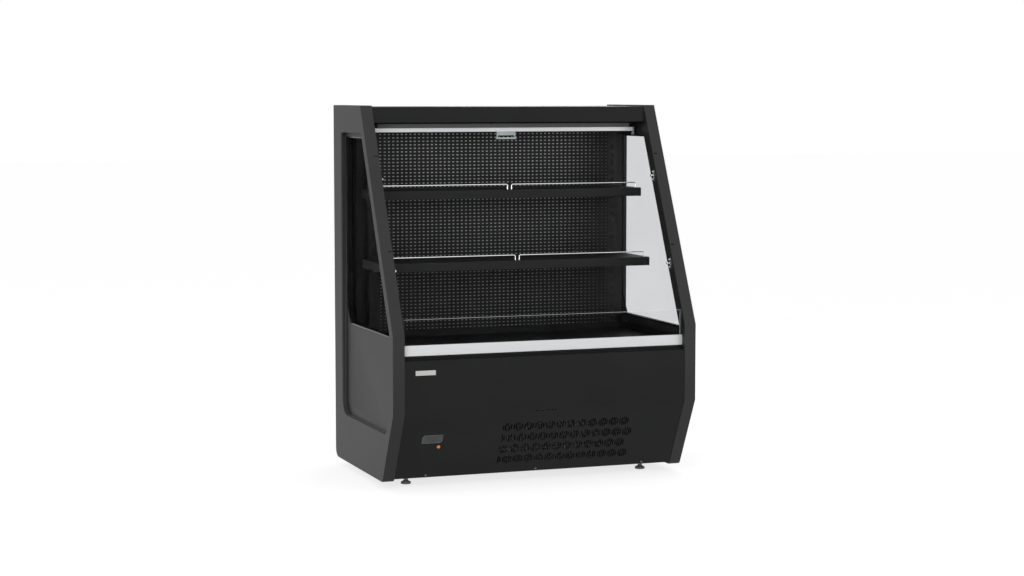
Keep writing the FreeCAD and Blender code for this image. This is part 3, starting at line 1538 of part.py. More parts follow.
def evaporator():
    """Evaporator coil, the fan plate that also carries the deck, and two fans on motors."""
    coil("evaporator_coil", ("-evaporator_reach", "evaporator_reach"),
         ("evaporator_y", "evaporator_y + evaporator_depth"), ("tub_top", "tub_top + evaporator_height"),
         "evaporator_fins")
    section = [
        ("fan_plate_y", "tub_top"),
        ("fan_plate_y + sheet", "tub_top"),
        ("fan_plate_y + sheet", "deck_base - sheet"),
        ("fan_plate_y + fan_plate_flange", "deck_base - sheet"),
        ("fan_plate_y + fan_plate_flange", "deck_base"),
        ("fan_plate_y", "deck_base"),
    ]
    plate = prism("fan_plate_sheet", "YZ", section, "-seam_half", "seam_half")
    holes = []
    motors = []
    for word, side in (("left", -1), ("right", 1)):
        middle = f"({side} * evaporator_fan_x)"
        centre = (middle, "fan_z")
        ring = "(evaporator_fan_radius + fan_tip_gap)"
        through = beyond("fan_plate_y", "fan_plate_y + sheet")
        holes.append(rod(f"fan_hole_{word}", "y", centre, ring, *through))
        motor_y = ("evaporator_motor_y", "evaporator_motor_y + evaporator_motor_length")
        parts = [
            rod(f"{word}_case", "y", centre, "evaporator_motor_radius", *motor_y),
            rod(f"{word}_shaft", "y", centre, "motor_shaft_radius", "evaporator_fan_y", "evaporator_motor_y"),
        ]
        arm = "evaporator_motor_arm"
        arm_y = ("evaporator_motor_y", f"evaporator_motor_y + {arm}")
        level = (f"fan_z - {arm} / 2", f"fan_z + {arm} / 2")
        for end in (-1, 1):
            near = f"{middle} + {end} * evaporator_motor_radius / 2"
            far = f"{middle} + {end} * ({ring} + {arm})"
            reach = (near, far) if end > 0 else (far, near)
            parts.append(block(f"{word}_arm", reach, arm_y, level))
            foot = f"{middle} + {end} * ({ring} + {arm} / 2)"
            parts.append(block(f"{word}_post", (f"{foot} - {arm} / 2", f"{foot} + {arm} / 2"),
                               ("fan_plate_y + sheet", arm_y[1]), level))
        motors.append(fuse(f"motor_{word}", parts))
    piece(cut("evaporator_fan_plate", plate, holes))
    piece(group("evaporator_fan_motors", motors))
    for word, side in (("left", -1), ("right", 1)):
        fan(f"evaporator_fan_{word}", (f"{side} * evaporator_fan_x", "evaporator_fan_y", "fan_z"),
            ("evaporator_blade_chord", "evaporator_blade_rake"), "evaporator_hub_length",
            "evaporator_hub_radius", "evaporator_fan_radius")


# ---------------------------------------------------------------- build, check and write

base_frame()
for foot_word in FOOT_SPOTS:
    levelling_foot(foot_word)
insulated_shell()
rear_grille()
for panel_word, panel_side in (("left", -1), ("right", 1)):
    end_panel("end_panel_" + panel_word, panel_side)
    side_glass("side_glass_" + panel_word, panel_side)
glass_spacers()
canopy_fascia()
canopy_lamp()
air_outlet()
blind_cassette()
blind_roller()
blind_bar()
blind_catches()
uprights()
back_panel()
shelf("upper")
shelf("lower")
deck()
bumper_and_riser()
front_panel()
front_panel_screws()
badge_plate()
controls()
condensing_unit()
compressor()
machine_room_boxes()
refrigerant_pipes()
evaporator()
doc.recompute()

faults = [item.Label for item in doc.Objects if {"Invalid", "Error"} & set(item.State)]
for item in pieces:
    if item.Shape.isNull() or not item.Shape.isValid() or not item.Shape.Solids:
        faults.append(item.Label + " shape")
if faults:
    raise ValueError("faulty objects: " + ", ".join(faults))

os.makedirs("parts", exist_ok=True)
for item in pieces:
    item.Shape.exportStep(os.path.join("parts", item.Label + ".step"))
    box = item.Shape.BoundBox
    print(f"{item.Label:28s} {len(item.Shape.Solids):3d} solids {item.Shape.Volume / 1000:10.1f} cm3"
          f"  x {box.XMin:7.1f} {box.XMax:7.1f}  y {box.YMin:7.1f} {box.YMax:7.1f}"
          f"  z {box.ZMin:7.1f} {box.ZMax:7.1f}")
print(len(pieces), "pieces")
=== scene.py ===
"""Looks of an open multideck display fridge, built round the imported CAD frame.

Everything is in metres in the frame of the CAD: +Z is up, the open front faces -Y, and +X is
on the right of someone who stands in front of it.
"""

import json
import logging
import math
from collections.abc import Callable, Iterable
from dataclasses import dataclass, field
from enum import Enum

import bmesh
import bpy
from mathutils import Matrix, Vector

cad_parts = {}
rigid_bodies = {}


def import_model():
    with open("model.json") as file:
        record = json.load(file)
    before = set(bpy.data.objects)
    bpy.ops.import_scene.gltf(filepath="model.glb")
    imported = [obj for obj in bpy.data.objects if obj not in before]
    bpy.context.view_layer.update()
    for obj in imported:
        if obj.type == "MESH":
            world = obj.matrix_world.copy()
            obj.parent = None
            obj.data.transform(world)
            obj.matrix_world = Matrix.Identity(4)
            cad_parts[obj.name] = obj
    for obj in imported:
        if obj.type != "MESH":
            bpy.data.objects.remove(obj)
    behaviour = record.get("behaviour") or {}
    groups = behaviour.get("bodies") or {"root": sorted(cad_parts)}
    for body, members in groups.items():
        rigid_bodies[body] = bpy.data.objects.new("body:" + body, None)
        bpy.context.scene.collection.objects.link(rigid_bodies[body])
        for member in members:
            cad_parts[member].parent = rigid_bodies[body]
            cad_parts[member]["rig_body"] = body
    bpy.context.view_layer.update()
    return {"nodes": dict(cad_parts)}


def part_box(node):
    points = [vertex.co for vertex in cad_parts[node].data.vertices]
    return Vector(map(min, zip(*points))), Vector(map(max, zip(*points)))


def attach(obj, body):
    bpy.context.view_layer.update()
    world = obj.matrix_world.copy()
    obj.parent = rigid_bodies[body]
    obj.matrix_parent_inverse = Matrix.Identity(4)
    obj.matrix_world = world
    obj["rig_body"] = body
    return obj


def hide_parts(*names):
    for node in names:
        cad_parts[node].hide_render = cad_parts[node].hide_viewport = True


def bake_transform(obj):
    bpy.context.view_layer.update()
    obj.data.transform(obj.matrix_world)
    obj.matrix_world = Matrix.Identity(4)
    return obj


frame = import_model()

log = logging.getLogger("fridge")

Colour = tuple[float, float, float]
Spot = tuple[float, float, float]
Shape = bmesh.types.BMesh
Piece = bpy.types.Object
Socket = bpy.types.NodeSocket
Face = bmesh.types.BMFace
Outline = list[tuple[float, float]]
EdgeTest = Callable[[bmesh.types.BMEdge], bool]

# Vertices of a CAD mesh that are closer than this are one, and faces flatter than this are one.
SAME_SPOT = 2e-6
SAME_PLANE = math.radians(0.4)
# Edges sharper than the first are rounded, and sharper than the second are shaded as edges.
CORNER = math.radians(32)
CREASE = math.radians(42)
# A face looks straight in a direction if its normal's share along it is above this.
STRAIGHT = 0.95

# Stands a flat shape up, so that its Y becomes Z.
UPRIGHT = Matrix.Rotation(math.pi / 2, 4, "X")

# Where things are, as the CAD's sizes give them.
HALF_WIDTH = 0.625
INNER_HALF = 0.5775
WEB_HALF = 0.606
FRONT_Y, REAR_Y = -0.405, 0.405
TOE_ANGLE = math.atan2(0.146, 0.279)
TOE_PLANE = Matrix.Translation((0, -0.4025, 0.309)) @ Matrix.Rotation(TOE_ANGLE, 4, "X")
TOE_LENGTH = 0.268 / math.cos(TOE_ANGLE)
BLIND_Y = 0.071
ROLLER = Vector((0, 0.0891, 1.429))


class Axis(Enum):
    """The line that a streak or a band follows, by its place in a vector."""

    X = 0
    Y = 1
    Z = 2


class Side(Enum):
    """Left and right of the cabinet, as the sign of X."""

    LEFT = -1
    RIGHT = 1


# --- materials


def scaled(tone: Colour, share: float) -> Colour:
    """A tone made darker or lighter by a share."""
    return tuple(min(1.0, part * share) for part in tone)


class Net:
    """The nodes of one material or world."""

    def __init__(self, tree: bpy.types.NodeTree) -> None:
        """Keeps the tree's nodes and links."""
        self.nodes, self.links = tree.nodes, tree.links

    def node(self, kind: str, output: str, inputs: dict[str | int, object], **options: object) -> Socket:
        """Adds a node.

        Args:
            kind: the node's type, without its first words.
            output: the output that is wanted.
            inputs: a socket or a value for each input.
            options: the node's own settings.

        Returns:
            The output's socket.
        """
        made = self.nodes.new("ShaderNode" + kind)
        for word, value in options.items():
            setattr(made, word, value)
        for word, value in inputs.items():
            if isinstance(value, bpy.types.NodeSocket):
                self.links.new(value, made.inputs[word])
            else:
                made.inputs[word].default_value = value
        return made.outputs[output]

    def product(self, first: Socket, second: Socket | float) -> Socket:
        """The product of two numbers."""
        return self.node("Math", "Value", {0: first, 1: second}, operation="MULTIPLY")

    def background_rays(self) -> Socket:
        """A socket that is 1 for rays that see the background, and 0 for rays that light things."""
        rays = self.nodes.new("ShaderNodeLightPath").outputs
        found = rays["Is Camera Ray"]
        for word in ("Is Glossy Ray", "Is Transmission Ray"):
            found = self.node("Math", "Value", {0: found, 1: rays[word]}, operation="MAXIMUM")
        return found


class Recipe(Net):
    """The nodes of one material round its Principled shader."""

    def __init__(self, name: str) -> None:
        """Starts an empty material with its shader."""
        self.material = bpy.data.materials.new(name)
        self.material.use_nodes = True
        super().__init__(self.material.node_tree)
        self.shader = self.nodes["Principled BSDF"]
        self.normal: Socket | None = None

    def set(self, **values: float | Colour) -> None:
        """Sets the shader's own sockets, named with underscores for spaces."""
        for word, value in values.items():
            socket = self.shader.inputs[word.replace("_", " ")]
            socket.default_value = (*value, 1.0) if socket.type == "RGBA" else value

    def feed(self, word: str, source: Socket) -> None:
        """Links a pattern to one of the shader's sockets."""
        self.links.new(source, self.shader.inputs[word])

    def place(self, stretch: Spot = (1, 1, 1), own_map: bool = False) -> Socket:
        """Coordinates for a pattern.

        Args:
            stretch: the scale along each axis.
            own_map: True to read the piece's UV map, and False for its object coordinates.

        Returns:
            The socket with the coordinates.
        """
        spot = self.node("TexCoord", "UV" if own_map else "Object", {})
        return self.node("Mapping", "Vector", {"Vector": spot, "Scale": stretch})

    def noise(self, spot: Socket, size: float, detail: float = 2.0, roughness: float = 0.5) -> Socket:
        """A cloudy pattern from 0 to 1 whose patches are about a given size."""
        return self.node(
            "TexNoise", "Fac", {"Vector": spot, "Scale": 1 / size, "Detail": detail, "Roughness": roughness}
        )

    def cells(self, spot: Socket, size: float) -> Socket:
        """Distances in a pattern of cells about a given size."""
        return self.node("TexVoronoi", "Distance", {"Vector": spot, "Scale": 1 / size})

    def bands(self, spot: Socket, pitch: float, along: Axis) -> Socket:
        """Even waves from 0 to 1 at a pitch along an axis."""
        inputs = {"Vector": spot, "Scale": math.pi / 10 / pitch}
        return self.node("TexWave", "Fac", inputs, bands_direction=along.name)

    def tint(self, source: Socket, tone: Colour, low: float, high: float,
             start: float = 0.35, end: float = 0.65) -> None:
        """Colours the surface with a tone that a pattern makes darker or lighter.

        Args:
            source: the pattern.
            tone: the middle tone.
            low: the share of it where the pattern is low.
            high: the share of it where the pattern is high.
            start: the pattern's value up to which it counts as low.
            end: the pattern's value from which it counts as high.
        """
        node = self.nodes.new("ShaderNodeValToRGB")
        for element, place, share in zip(node.color_ramp.elements, (start, end), (low, high)):
            element.position = place
            element.color = (*scaled(tone, share), 1.0)
        self.links.new(source, node.inputs["Fac"])
        self.feed("Base Color", node.outputs["Color"])

    def spread(self, source: Socket, low: float, high: float, start: float = 0.3, end: float = 0.7) -> Socket:
        """Numbers between two limits, by a pattern."""
        limits = {"From Min": start, "From Max": end, "To Min": low, "To Max": high}
        return self.node("MapRange", "Result", {"Value": source, **limits})

    def rough(self, source: Socket, low: float, high: float) -> None:
        """Makes the surface rougher where a pattern is high."""
        self.feed("Roughness", self.spread(source, low, high))

    def bump(self, height: Socket, strength: float, depth: float) -> None:
        """Adds relief to the surface, over any relief that it has already."""
        below = {} if self.normal is None else {"Normal": self.normal}
        self.normal = self.node("Bump", "Normal", {"Height": height, "Strength": strength, "Distance": depth, **below})
        self.feed("Normal", self.normal)


@dataclass(frozen=True)
class Finish:
    """A surface finish that makes its material once."""

    name: str
    slot: str

    def material(self) -> bpy.types.Material:
        """Returns this finish's material, made the first time."""
        found = bpy.data.materials.get(self.name)
        if found is None:
            recipe = Recipe(self.name)
            self.compose(recipe)
            found = recipe.material
        return found

    def compose(self, recipe: Recipe) -> None:
        """Fills the recipe; each kind of finish has its own."""
        raise NotImplementedError


@dataclass(frozen=True)
class PowderCoat(Finish):
    """Baked powder paint with a fine orange-peel grain and faint clouds of tone."""

    tone: Colour = (0.01, 0.01, 0.01)
    cloud: float = 0.12
    roughness: float = 0.5
    shine: float = 0.2
    grain: float = 0.0012
    relief: float = 0.25

    def compose(self, recipe: Recipe) -> None:
        """Fills the recipe with paint."""
        spot = recipe.place()
        grain = recipe.noise(spot, self.grain, 3.0, 0.6)
        cloud = recipe.noise(spot, 0.22, 3.0)
        recipe.tint(cloud, self.tone, 1 - self.cloud, 1 + self.cloud)
        recipe.rough(grain, self.roughness - 0.05, self.roughness + 0.05)
        recipe.set(Specular_IOR_Level=self.shine)
        recipe.bump(grain, self.relief, 0.0001)
        recipe.bump(recipe.noise(spot, self.grain * 9, 1.0), self.relief * 0.4, 0.0002)


@dataclass(frozen=True)
class DrawnMetal(Finish):
    """Metal with fine lines along the way it was drawn, rolled or brushed."""

    tone: Colour = (0.6, 0.6, 0.6)
    roughness: float = 0.3
    metal: float = 1.0
    line: float = 0.0006
    relief: float = 0.15
    contrast: float = 0.06
    along: Axis = Axis.X

    def compose(self, recipe: Recipe) -> None:
        """Fills the recipe with drawn metal."""
        stretch = [1.0, 1.0, 1.0]
        stretch[self.along.value] = 0.012
        lines = recipe.noise(recipe.place(tuple(stretch)), self.line, 4.0, 0.65)
        cloud = recipe.noise(recipe.place(), 0.12, 2.0)
        recipe.tint(lines, self.tone, 1 - self.contrast, 1 + self.contrast)
        recipe.rough(cloud, self.roughness * 0.85, self.roughness * 1.15)
        recipe.set(Metallic=self.metal)
        recipe.bump(lines, self.relief, 0.00005)


@dataclass(frozen=True)
class Moulded(Finish):
    """Moulded plastic or rubber with a fine spark-eroded grain."""

    tone: Colour = (0.1, 0.1, 0.1)
    roughness: float = 0.4
    shine: float = 0.4
    grain: float = 0.0005
    relief: float = 0.15
    clear: float = 0.0
    soft: float = 0.0

    def compose(self, recipe: Recipe) -> None:
        """Fills the recipe with moulded plastic."""
        spot = recipe.place()
        grain = recipe.noise(spot, self.grain, 2.0)
        flow = recipe.noise(spot, 0.03, 2.0)
        recipe.tint(flow, self.tone, 0.93, 1.06)
        recipe.rough(grain, self.roughness * 0.88, self.roughness * 1.12)
        recipe.set(Specular_IOR_Level=self.shine, Transmission_Weight=self.clear)
        if self.soft:
            recipe.set(Subsurface_Weight=self.soft, Subsurface_Radius=(0.004, 0.002, 0.001))
        recipe.bump(grain, self.relief, 0.00006)


@dataclass(frozen=True)
class ClearGlass(Finish):
    """Float glass with a faint tint and almost no waviness."""

    tone: Colour = (0.815, 0.817, 0.825)
    index: float = 1.003
    roughness: float = 0.0

    def compose(self, recipe: Recipe) -> None:
        """Fills the recipe with glass."""
        wave = recipe.noise(recipe.place(), 0.3, 1.0)
        recipe.tint(wave, self.tone, 0.985, 1.0)
        recipe.set(Transmission_Weight=1.0, IOR=self.index, Roughness=self.roughness)
        recipe.bump(wave, 0.01, 0.0002)


@dataclass(frozen=True)
class WovenCloth(Finish):
    """Coated blind fabric with fine warp and weft threads along its own map."""

    tone: Colour = (0.135, 0.141, 0.138)
    thread: float = 0.0011

    def compose(self, recipe: Recipe) -> None:
        """Fills the recipe with woven threads."""
        spot = recipe.place(own_map=True)
        warp, weft = (recipe.bands(spot, self.thread, axis) for axis in (Axis.X, Axis.Y))
        slub = recipe.noise(recipe.place((1, 0.05, 1), own_map=True), 0.004, 2.0)
        recipe.tint(slub, self.tone, 0.94, 1.06)
        recipe.set(Roughness=0.85, Specular_IOR_Level=0.2, Sheen_Weight=0.08)
        recipe.bump(warp, 0.35, 0.0001)
        recipe.bump(weft, 0.35, 0.0001)


@dataclass(frozen=True)
class Galvanised(Finish):
    """Zinc-coated steel with spangles."""

    tone: Colour = (0.4, 0.41, 0.42)
    roughness: float = 0.42
    spangle: float = 0.012

    def compose(self, recipe: Recipe) -> None:
        """Fills the recipe with zinc spangles."""
        spot = recipe.place()
        spangle = recipe.cells(spot, self.spangle)
        recipe.tint(spangle, self.tone, 0.82, 1.1, 0.1, 0.8)
        recipe.rough(spangle, self.roughness - 0.08, self.roughness + 0.08)
        recipe.set(Metallic=0.9)
        recipe.bump(recipe.noise(spot, 0.001, 2.0), 0.1, 0.0001)


@dataclass(frozen=True)
class FinStack(Finish):
    """Thin aluminium fins drawn as bands: bright at the fin edges, with painted shade in the gaps between them."""

    tone: Colour = (0.45, 0.46, 0.47)
    pitch: float = 0.0024

    def compose(self, recipe: Recipe) -> None:
        """Fills the recipe with fins."""
        spot = recipe.place()
        fins = recipe.bands(spot, self.pitch, Axis.X)
        # The darker bands are painted shade between the fins.
        recipe.tint(fins, self.tone, 0.5, 1.0, 0.2, 0.8)
        recipe.rough(recipe.noise(spot, 0.03), 0.35, 0.5)
        recipe.set(Metallic=0.85)
        recipe.bump(fins, 0.5, 0.0004)


@dataclass(frozen=True)
class PaintedLightBacking(Finish):
    """Pale sheet behind the perforations, with painted lamp light at the top that fades into painted shade downwards
    and towards the right.
    """

    tone: Colour = (0.46, 0.48, 0.48)
    low: float = 0.60
    high: float = 1.36
    painted_shade_share: float = 0.3

    def compose(self, recipe: Recipe) -> None:
        """Fills the recipe with a sheet whose tone falls off downwards and to the right, as painted shade."""
        spot = recipe.place()
        parts = recipe.nodes.new("ShaderNodeSeparateXYZ")
        recipe.links.new(spot, parts.inputs[0])
        # Painted light and shade: bright under the canopy lamp, darker downwards and towards the right.
        height = recipe.spread(parts.outputs["Z"], self.painted_shade_share, 1.0, self.low, self.high)
        across = recipe.spread(parts.outputs["X"], 1.0, 0.05, 0.3, 0.46)
        cloud = recipe.spread(recipe.noise(spot, 0.05), 0.85, 1.15)
        share = recipe.product(recipe.product(height, across), cloud)
        recipe.tint(share, self.tone, 0.1, 1.0, 0.0, 1.0)
        recipe.set(Roughness=0.7, Specular_IOR_Level=0.2)
        recipe.bump(recipe.noise(spot, 0.002, 2.0), 0.2, 0.0001)


@dataclass(frozen=True)
class LampLens(Finish):
    """Milky ribbed lens over a strip of light."""

    tone: Colour = (0.8, 0.81, 0.82)
    glow: float = 0.4

    def compose(self, recipe: Recipe) -> None:
        """Fills the recipe with a milky lens."""
        ribs = recipe.bands(recipe.place(), 0.003, Axis.X)
        recipe.tint(ribs, self.tone, 0.9, 1.0)
        recipe.set(Roughness=0.4, Emission_Color=(1.0, 0.98, 0.95), Emission_Strength=self.glow)
        recipe.bump(ribs, 0.3, 0.0003)


PANEL_SHELL = PowderCoat("textured_panel_shell", "panel_shell", (0.015, 0.015, 0.0152), 0.1, 0.52, 0.32, 0.0013, 0.45)
BLACK_SHEET = PowderCoat("satin_black_sheet", "black_sheet", (0.0078, 0.008, 0.008), 0.1, 0.46, 0.16)
INNER_SHEET = PowderCoat("interior_black_sheet", "interior_sheet", (0.0078, 0.008, 0.0081), 0.12, 0.5, 0.18)
BRACKET_PAINT = PowderCoat("bracket_black_paint", "bracket_steel", (0.012, 0.012, 0.012), 0.12, 0.45, 0.25)
ARM_PAINT = PowderCoat("shelf_arm_grey_paint", "bracket_steel", (0.06, 0.061, 0.062), 0.12, 0.42, 0.3)
CASSETTE_PAINT = PowderCoat("cassette_black_paint", "cassette_black", (0.008, 0.008, 0.008), 0.1, 0.55, 0.2)
RAIL_PAINT = PowderCoat("rail_black_paint", "black_sheet", (0.006, 0.006, 0.006), 0.1, 0.55, 0.15)
# The backing's tone carries painted lamp light and painted shade.
BACKING = PaintedLightBacking("perforation_backing", "interior_sheet")
WINDOW_GLASS = ClearGlass("side_window_glass", "glazing")
RISER_GLASS = ClearGlass("riser_clear_glass", "clear_glass", (0.965, 0.975, 0.975), 1.01)
ENAMEL_BORDER = Moulded("black_glass_enamel", "glazing", (0.006, 0.006, 0.006), 0.15, 0.4)
GLASS_EDGE = Moulded("polished_glass_edge", "clear_glass", (0.86, 0.90, 0.89), 0.25, 0.5, 0.004, 0.05, 0.1)
SPACER = Moulded("black_glazing_spacer", "spacer_black", (0.006, 0.006, 0.006), 0.6, 0.2)
BUMPER = DrawnMetal("silver_bumper", "bumper_grey", (0.69, 0.70, 0.71), 0.45, 0.25, 0.0012, 0.08, 0.03)
ALUMINIUM = DrawnMetal("anodised_blind_bar", "blind_aluminium", (0.66, 0.67, 0.68), 0.38, 0.35, 0.0008, 0.1, 0.04)
HANDLE = Moulded("grey_green_handle", "blind_plastic", (0.39, 0.46, 0.455), 0.38, 0.45)
HOOK = Moulded("smoked_hook", "hook_plastic", (0.36, 0.37, 0.37), 0.28, 0.5, 0.002, 0.05, 0.3)
FABRIC = WovenCloth("blind_cloth", "blind_fabric")
ROLLER_ZINC = Galvanised("roller_zinc", "roller_steel")
DULL_ZINC = DrawnMetal("dull_zinc_screw", "bright_metal", (0.17, 0.17, 0.172), 0.4, 1.0)
CHROME = DrawnMetal("bright_wire_metal", "bright_metal", (0.78, 0.78, 0.78), 0.16, 1.0, 0.0008, 0.05, 0.04)
BADGE = DrawnMetal("brushed_badge", "badge_metal", (0.49, 0.485, 0.475), 0.36, 0.7, 0.0004, 0.2, 0.07)
CONTROL = Moulded("control_housing", "control_plastic", (0.058, 0.061, 0.060), 0.4, 0.4)
# The rim's pale tone stands in for the glints of a polished trim: painted highlight.
CONTROL_RIM = Moulded("control_rim", "control_plastic", (0.20, 0.21, 0.21), 0.25, 0.5)
CONTROL_LENS = Moulded("control_lens", "control_plastic", (0.030, 0.032, 0.034), 0.12, 0.5)
BUTTON = Moulded("orange_button", "button_orange", (0.87, 0.30, 0.075), 0.3, 0.5, 0.001, 0.05, 0.0, 0.15)
LENS = LampLens("milky_lamp_lens", "lamp_lens")
OUTLET = Moulded("outlet_comb", "outlet_plastic", (0.02, 0.02, 0.021), 0.5, 0.3)
FRAME_ZINC = Galvanised("frame_zinc", "frame_steel", (0.16, 0.165, 0.17), 0.5, 0.02)
FOOT = Moulded("foot_grey_plastic", "foot_plastic", (0.17, 0.172, 0.175), 0.5, 0.35, 0.0009, 0.25)
STUD = DrawnMetal("zinc_stud", "bright_metal", (0.55, 0.55, 0.54), 0.3, 1.0)
FINS = FinStack("coil_fin_stack", "coil_fins")
SHROUD = Galvanised("shroud_zinc", "shroud_steel", (0.3, 0.31, 0.32), 0.45)
MOTOR = PowderCoat("motor_black_enamel", "motor_black", (0.015, 0.015, 0.016), 0.15, 0.4, 0.4, 0.002)
FAN = Moulded("fan_black_plastic", "fan_plastic", (0.02, 0.02, 0.021), 0.42, 0.4)
ENAMEL = PowderCoat("compressor_black_enamel", "compressor_black", (0.012, 0.012, 0.013), 0.2, 0.32, 0.5, 0.004, 0.3)
# A black strip that stands in for the shadow in the gap under the fascia: painted shade.
BLACK_SHADE_STRIP = Moulded("black_lip_rubber", "mount_rubber", (0.0025, 0.0025, 0.0024), 0.85, 0.1, 0.001, 0.3)
RUBBER = Moulded("mount_rubber", "mount_rubber", (0.02, 0.019, 0.018), 0.8, 0.2, 0.001, 0.4)
TRAY = Moulded("tray_plastic", "tray_plastic", (0.03, 0.03, 0.032), 0.45, 0.4)
COPPER = DrawnMetal("pipe_copper", "pipe_copper", (0.75, 0.36, 0.2), 0.28, 1.0, 0.003, 0.06, 0.12, Axis.Z)


# --- shapes


def node_shape(node: str) -> Shape:
    """Copies a CAD node's mesh and joins its loose triangles.

    Args:
        node: the node's name.

    Returns:
        A closed mesh with flat faces made whole.
    """
    made = bmesh.new()
    made.from_mesh(frame["nodes"][node].data)
    bmesh.ops.remove_doubles(made, verts=made.verts[:], dist=SAME_SPOT)
    bmesh.ops.dissolve_limit(made, angle_limit=SAME_PLANE, verts=made.verts[:], edges=made.edges[:])
    return made


def soften(made: Shape, width: float, segments: int = 2, chosen: EdgeTest | None = None) -> None:
    """Rounds the corners of a shape.

    Args:
        made: the shape.
        width: how far the rounding reaches from each edge.
        segments: how many faces it has across.
        chosen: says which edges are rounded, or None for all.
    """
    edges = [
        edge
        for edge in made.edges
        if edge.is_manifold and edge.calc_face_angle(0.0) > CORNER and (chosen is None or chosen(edge))
    ]
    bmesh.ops.bevel(
        made, geom=edges, offset=width, offset_type="OFFSET", segments=segments, profile=0.5,
        affect="EDGES", clamp_overlap=True, material=-1,
    )


def outward(made: Shape) -> None:
    """Turns every face of a closed shape outwards."""
    bmesh.ops.recalc_face_normals(made, faces=made.faces[:])


def moved(made: Shape, place: Matrix) -> None:
    """Moves a whole shape to its place."""
    bmesh.ops.transform(made, matrix=place, verts=made.verts[:])


def stood_up(made: Shape, place: Matrix, toward: float) -> None:
    """Stands a flat grid up at its place.

    Args:
        made: the grid.
        place: where it goes, with its own scale.
        toward: the sign of Y that its faces turn to.
    """
    moved(made, place)
    outward(made)
    if made.faces[:][0].normal.y * toward < 0:
        bmesh.ops.reverse_faces(made, faces=made.faces[:])


def all_at(verts: Iterable[bmesh.types.BMVert], axis: Axis, level: float, reach: float = 1e-5) -> bool:
    """True if every vertex lies within reach of a level on an axis."""
    return all(abs(vert.co[axis.value] - level) < reach for vert in verts)


def facing_faces(made: Shape, direction: Iterable[float]) -> list[Face]:
    """The faces of a shape that face straight in a direction."""
    return [face for face in made.faces if face.normal.dot(Vector(direction)) > STRAIGHT]


def mark(made: Shape, second: Callable[[Face], bool]) -> None:
    """Gives the second finish to the faces that pass a test, and the first to the rest."""
    for face in made.faces:
        face.material_index = int(second(face))


def pulled(made: Shape, faces: list[Face], shift: Iterable[float]) -> list[Face]:
    """Gives open faces a thickness.

    Args:
        made: the shape.
        faces: its faces that get thick.
        shift: how far and which way.

    Returns:
        The new faces on the far side.
    """
    items = bmesh.ops.extrude_face_region(made, geom=faces, use_keep_orig=True)["geom"]
    bmesh.ops.translate(made, verts=[item for item in items if isinstance(item, bmesh.types.BMVert)], vec=shift)
    outward(made)
    return [item for item in items if isinstance(item, Face)]


def pressed(made: Shape, faces: list[Face], margin: float, slope: float, depth: float) -> None:
    """Presses a field into faces, a margin in from their edges and with sloping sides."""
    bmesh.ops.inset_region(made, faces=faces, thickness=margin, depth=0.0)
    bmesh.ops.inset_region(made, faces=faces, thickness=slope, depth=-depth)


def hollowed(made: Shape, along: Axis, wall: float) -> Shape:
    """Opens a block right through along an axis, and leaves a wall round the hole."""
    ends = [face for face in made.faces if abs(face.normal[along.value]) > STRAIGHT]
    bmesh.ops.inset_individual(made, faces=ends, thickness=wall, depth=0.0)
    bmesh.ops.bridge_loops(made, edges=[edge for face in ends for edge in face.edges])
    bmesh.ops.delete(made, geom=ends, context="FACES_ONLY")
    return made


def repeated(piece: Piece, name: str, runs: Iterable[tuple[int, Spot]], merge: bool) -> None:
    """Repeats a flat-shaded cell.

    Args:
        piece: the cell.
        name: the modifiers' name.
        runs: a count and a step for each direction.
        merge: True to weld each cell to the next.
    """
    piece.data.shade_flat()
    piece.modifiers.clear()
    for count, step in runs:
        array = piece.modifiers.new(name, "ARRAY")
        array.count = count
        array.use_relative_offset, array.use_constant_offset = False, True
        array.constant_offset_displace = step
        array.use_merge_vertices, array.merge_threshold = merge, 1e-5


def extruded(profile: Outline, low: float, high: float) -> Shape:
    """A bar of one section along X.

    Args:
        profile: the section's corners as Y and Z, in order.
        low: where it starts on X.
        high: where it ends on X.

    Returns:
        The closed bar.
    """
    made = bmesh.new()
    face = made.faces.new([made.verts.new((low, y, z)) for y, z in profile])
    pulled(made, [face], (high - low, 0, 0))
    return made


def slab(low: Iterable[float], high: Iterable[float], into: Shape | None = None) -> Shape:
    """A rectangular block between two corners, to be shaped further.

    Args:
        low: the lowest corner.
        high: the highest corner.
        into: a shape that it is added to, or None for a new one.

    Returns:
        The shape.
    """
    made = bmesh.new() if into is None else into
    low, high = Vector(low), Vector(high)
    place = Matrix.Translation((low + high) / 2) @ Matrix.Diagonal((*(high - low), 1.0))
    bmesh.ops.create_cube(made, size=1.0, matrix=place)
    return made


def turned(profile: Outline, steps: int = 32, into: Shape | None = None,
           place: Matrix = Matrix.Identity(4)) -> Shape:
    """A solid of revolution about its own Z axis.

    Args:
        profile: radius and height of each corner, from the axis at one end to the axis at the other.
        steps: how many sides it has.
        into: a shape that it is added to, or None for a new one.
        place: where it goes.

    Returns:
        The shape.
    """
    part = bmesh.new()
    spots = [part.verts.new((radius, 0, height)) for radius, height in profile]
    lines = [part.edges.new(pair) for pair in zip(spots, spots[1:])]
    bmesh.ops.spin(part, geom=spots + lines, cent=(0, 0, 0), axis=(0, 0, 1), angle=math.tau,
                   steps=steps, use_merge=True, use_duplicate=False)
    bmesh.ops.remove_doubles(part, verts=part.verts[:], dist=SAME_SPOT)
    outward(part)
    return joined(part, into, place)


def joined(part: Shape, into: Shape | None, place: Matrix = Matrix.Identity(4)) -> Shape:
    """Adds a part to a shape at its place, and frees the part.

    Args:
        part: the part, which is used up.
        into: the shape, or None for a new one.
        place: where the part goes.

    Returns:
        The shape.
    """
    mesh = bpy.data.meshes.new("part")
    moved(part, place)
    part.to_mesh(mesh)
    part.free()
    made = bmesh.new() if into is None else into
    made.from_mesh(mesh)
    bpy.data.meshes.remove(mesh)
    return made


